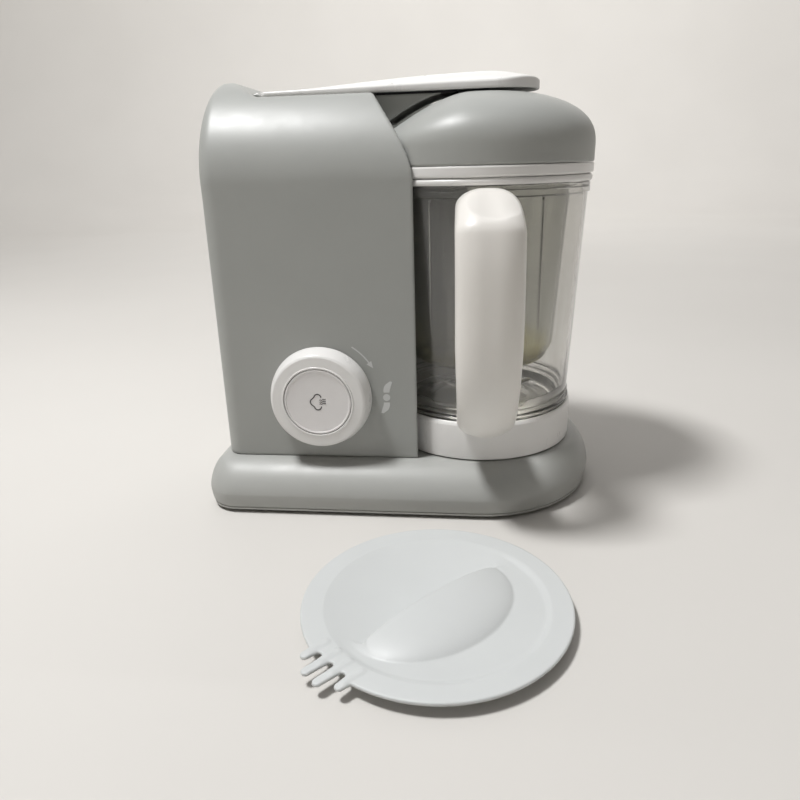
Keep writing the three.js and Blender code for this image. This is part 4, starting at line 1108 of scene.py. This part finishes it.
def shaded_neck_field(x, y, z):
    """The neck that holds the duct under the arm. Its black is painted shade for the shadowed slot under
    the arm.
    """
    body = np.maximum(np.maximum(np.abs(y) - 16.4, np.hypot(x, y) - 61.6), x + 13.6)
    foot = np.maximum(dome_reach(x, y) + 0.5, DUCT_TOP - 0.4)
    return np.maximum(body, np.maximum(foot - z, z - ARM_UNDER - 0.05))


def add_arm():
    """The arm, bored for its pin, with the steam duct under it and a black neck of painted shade between
    them.
    """
    arm = grown("arm_cover", arm_field, (-134, -22, 233), (ARM_HIGH.x, 22, 248), 0.8, crease=50)
    bore = turned("cutter", [(0, -15), (1.7, -15), (1.7, 15), (0, 15)], PIVOT, 40, TO_FRONT)
    carve(arm, [bore], 60)
    dress(arm, "arm", "white_gloss", "arm_top")
    duct = grown("steam_duct", duct_field, (-64, -19, 221), (-19, 19, 237), 0.8, crease=50)
    dress(duct, "arm", "housing_grey")
    neck = grown("painted_shade_neck", shaded_neck_field, (-62, -17, 235), (-13, 17, 237.6), 0.6, crease=50)
    # black plastic here is painted shade: it stands for the dark shadowed slot between the arm and the deck
    dress(neck, "arm", "black_plastic")


# ---------------- mixing lid

def ramp(value, low, high):
    """0 below low, 1 above high and smooth between."""
    share = np.clip((value - low) / (high - low), 0, 1)
    return share * share * (3 - 2 * share)


def plate_heights(x, y):
    """The mixing lid's upper and lower surfaces as heights over its plan."""
    r = np.hypot(x, y)
    u = x * cos(CREST_ANGLE) + y * sin(CREST_ANGLE)
    v = -x * sin(CREST_ANGLE) + y * cos(CREST_ANGLE)
    step = 1.4 * (1 - ramp(r, PLATE_WELL - 2.2, PLATE_WELL + 2.0))
    flat, flat_under = PLATE_TOP - step, PLATE_TOP - PLATE_THICK - step

    def egg(a, b, c, foot):
        return foot + c * np.sqrt(np.maximum(0, 1 - ((u + 3) / a) ** 2 - (v / b) ** 2))

    def bowl(radius, depth, rim):
        return rim - depth * np.maximum(0, 1 - (r / radius) ** 2)

    bump = np.maximum(flat, egg(45.5, 34.0, 10.4, 2.6))
    bump_under = np.maximum(flat_under, egg(43.5, 32.0, 9.6, 1.6))
    dish = bowl(PLATE_WELL + 0.8, 6.1, PLATE_TOP)
    dish_under = bowl(PLATE_WELL + 1.6, 6.1, PLATE_TOP - PLATE_THICK)
    ease = 0.8 + 11 * ramp(r, 41.0, 48.0)
    upper = bump + (dish - bump) * ramp(v, 0.2 - ease, 0.2 + ease)
    lower = bump_under + (dish_under - bump_under) * ramp(v, -1.8 - ease, -1.8 + ease)
    return upper, np.maximum(np.minimum(lower, upper - 1.0), 0.15)


def mixing_field(x, y, z):
    """A flanged disc with a dished half, a half-egg grip on the other side, and a four-toothed fork."""
    r = np.hypot(x, y)
    p = x * cos(FORK_ANGLE) + y * sin(FORK_ANGLE)
    q = -x * sin(FORK_ANGLE) + y * cos(FORK_ANGLE)
    tab = np.maximum(np.abs(q) - 15.2 - 0.42 * np.maximum(61 - p, 0), p - 59.5)
    fork = np.maximum(tab, 40 - p)
    for offset, reach in TEETH:
        fork = either(fork, capsule(p, q, (56, offset), (reach - 2.1, offset), 2.55, 2.1), 0.8)
    plan = either(r - PLATE_RADIUS, fork, 0.8)
    for (near, _), (far, _) in zip(TEETH, TEETH[1:]):
        offset = (near + far) / 2
        plan = without(plan, capsule(p, q, (61, offset), (80, offset), 1.6, 2.1), 0.3)
    upper, lower = plate_heights(x, y)
    for offset, _ in TEETH:
        upper = upper + 0.5 * ramp(-capsule(p, q, (54, offset), (63, offset), 1.6, 1.0), -0.9, 0.7)
    lid = both(both(z - upper, lower - z, 0.5), plan, 0.7)
    skirt = np.maximum(np.abs(r - PLATE_WELL - 2.4) - 1.0, np.maximum(-z, z - 6))
    return either(lid, skirt, 0.5)


def add_mixing_lid():
    """The loose lid in front of the machine."""
    place = (PLATE_X, PLATE_Y, 0)
    plate = grown("mixing_plate", mixing_field, (-72, -72, 0), (63, 63, 13.4), 0.75, place, crease=60)
    dress(plate, "mixing_lid", "pale_plastic", "mixing_lid")


# ---------------- studio

def add_camera():
    """The photograph's viewpoint: in front, a little above, and looking slightly left and down."""
    forward = Vector((-sin(YAW), cos(YAW), 0))
    right = Vector((cos(YAW), sin(YAW), 0))
    up = Vector((0, 0, 1))
    look = forward * cos(PITCH) - up * sin(PITCH)
    crown = up * cos(PITCH) + forward * sin(PITCH)
    side = right * cos(ROLL) + crown * sin(ROLL)
    crown = crown * cos(ROLL) - right * sin(ROLL)
    data = bpy.data.cameras.new("camera")
    data.lens = LENS
    data.sensor_width = 36
    data.shift_x, data.shift_y = SHIFT
    data.clip_start = 0.01
    camera = bpy.data.objects.new("camera", data)
    place = Vector((AXIS.x, AXIS.y, 0)) + EYE
    turn = Matrix((side, crown, -look)).transposed().to_4x4()
    camera.matrix_world = Matrix.Translation(place * MM) @ turn
    bpy.context.scene.collection.objects.link(camera)
    bpy.context.scene.camera = camera


def add_area_light(name, place, target, width, height, power):
    """A soft rectangular lamp, in metres and watts."""
    data = bpy.data.lights.new(name, "AREA")
    data.shape = "RECTANGLE"
    data.size = width
    data.size_y = height
    data.energy = power
    light = bpy.data.objects.new(name, data)
    aim = Vector(target) - Vector(place)
    light.matrix_world = Matrix.Translation(place) @ aim.to_track_quat("-Z", "Y").to_matrix().to_4x4()
    bpy.context.scene.collection.objects.link(light)


def add_floor():
    """A pale round floor that curves up into a wall on every side."""
    flat, bend, wall, steps, segments = 2.3, 1.0, 3.4, 20, 96
    turns = [radians(90 * k / steps) for k in range(steps + 1)]
    line = [(flat + bend * sin(turn), bend * (1 - cos(turn))) for turn in turns]
    line.append((flat + bend, wall))
    around = [(cos(2 * pi * k / segments), sin(2 * pi * k / segments)) for k in range(segments)]
    points = [(0, 0, 0)] + [(r * x, r * y, z) for r, z in line for x, y in around]
    faces = []
    for k in range(segments):
        ahead = (k + 1) % segments
        faces.append((0, 1 + k, 1 + ahead))
        for level in range(len(line) - 1):
            start = 1 + level * segments
            faces.append((start + k, start + segments + k, start + segments + ahead, start + ahead))
    mesh = bpy.data.meshes.new("floor")
    mesh.from_pydata(points, [], faces)
    for face in mesh.polygons:
        face.use_smooth = True
    material, tree, shader, place = start_material("floor")
    patches = spread(tree, noise(tree, place, 3, 2.0), 0, 1)
    tint(tree, shader, patches, (0.64, 0.62, 0.59), (0.66, 0.64, 0.61))
    shader.inputs["Roughness"].default_value = 0.85
    mesh.materials.append(material)
    floor = bpy.data.objects.new("floor", mesh)
    bpy.context.scene.collection.objects.link(floor)


def add_studio():
    """A small key lamp from the upper left, a wide soft one overhead and four washes on the walls."""
    add_camera()
    add_floor()
    middle = ((cad_low + cad_high) / 2).to_tuple()
    add_area_light("key", (-0.5, -0.19, 1.4), middle, 0.28, 0.22, 19.5)
    add_area_light("sky", (0, 0.1, 2.7), (0, 0.1, 0), 2.0, 2.0, 9)
    washes = (("back", 0, 1, 52), ("front", 0, -1, 2.5), ("left", -1, 0, 7), ("right", 1, 0, 7))
    for name, x, y, power in washes:
        place, target = (x * 1.6, y * 1.6, 2.3), (x * 3.2, y * 3.2, 0.9)
        add_area_light(f"wash_{name}", place, target, 1.6, 0.5, power)
    world = bpy.data.worlds.new("studio")
    world.use_nodes = True
    backdrop = world.node_tree.nodes["Background"]
    backdrop.inputs["Color"].default_value = (0.95, 0.96, 1.0, 1)
    backdrop.inputs["Strength"].default_value = 0.07
    bpy.context.scene.world = world
    bpy.context.scene.view_settings.view_transform = "Standard"


# ---------------- build

finish_cad_nodes()
add_base()
add_housing()
add_tank_mouth()
add_controls()
add_marks()
add_jug()
add_basket()
add_lid()
add_arm()
add_mixing_lid()
add_studio()
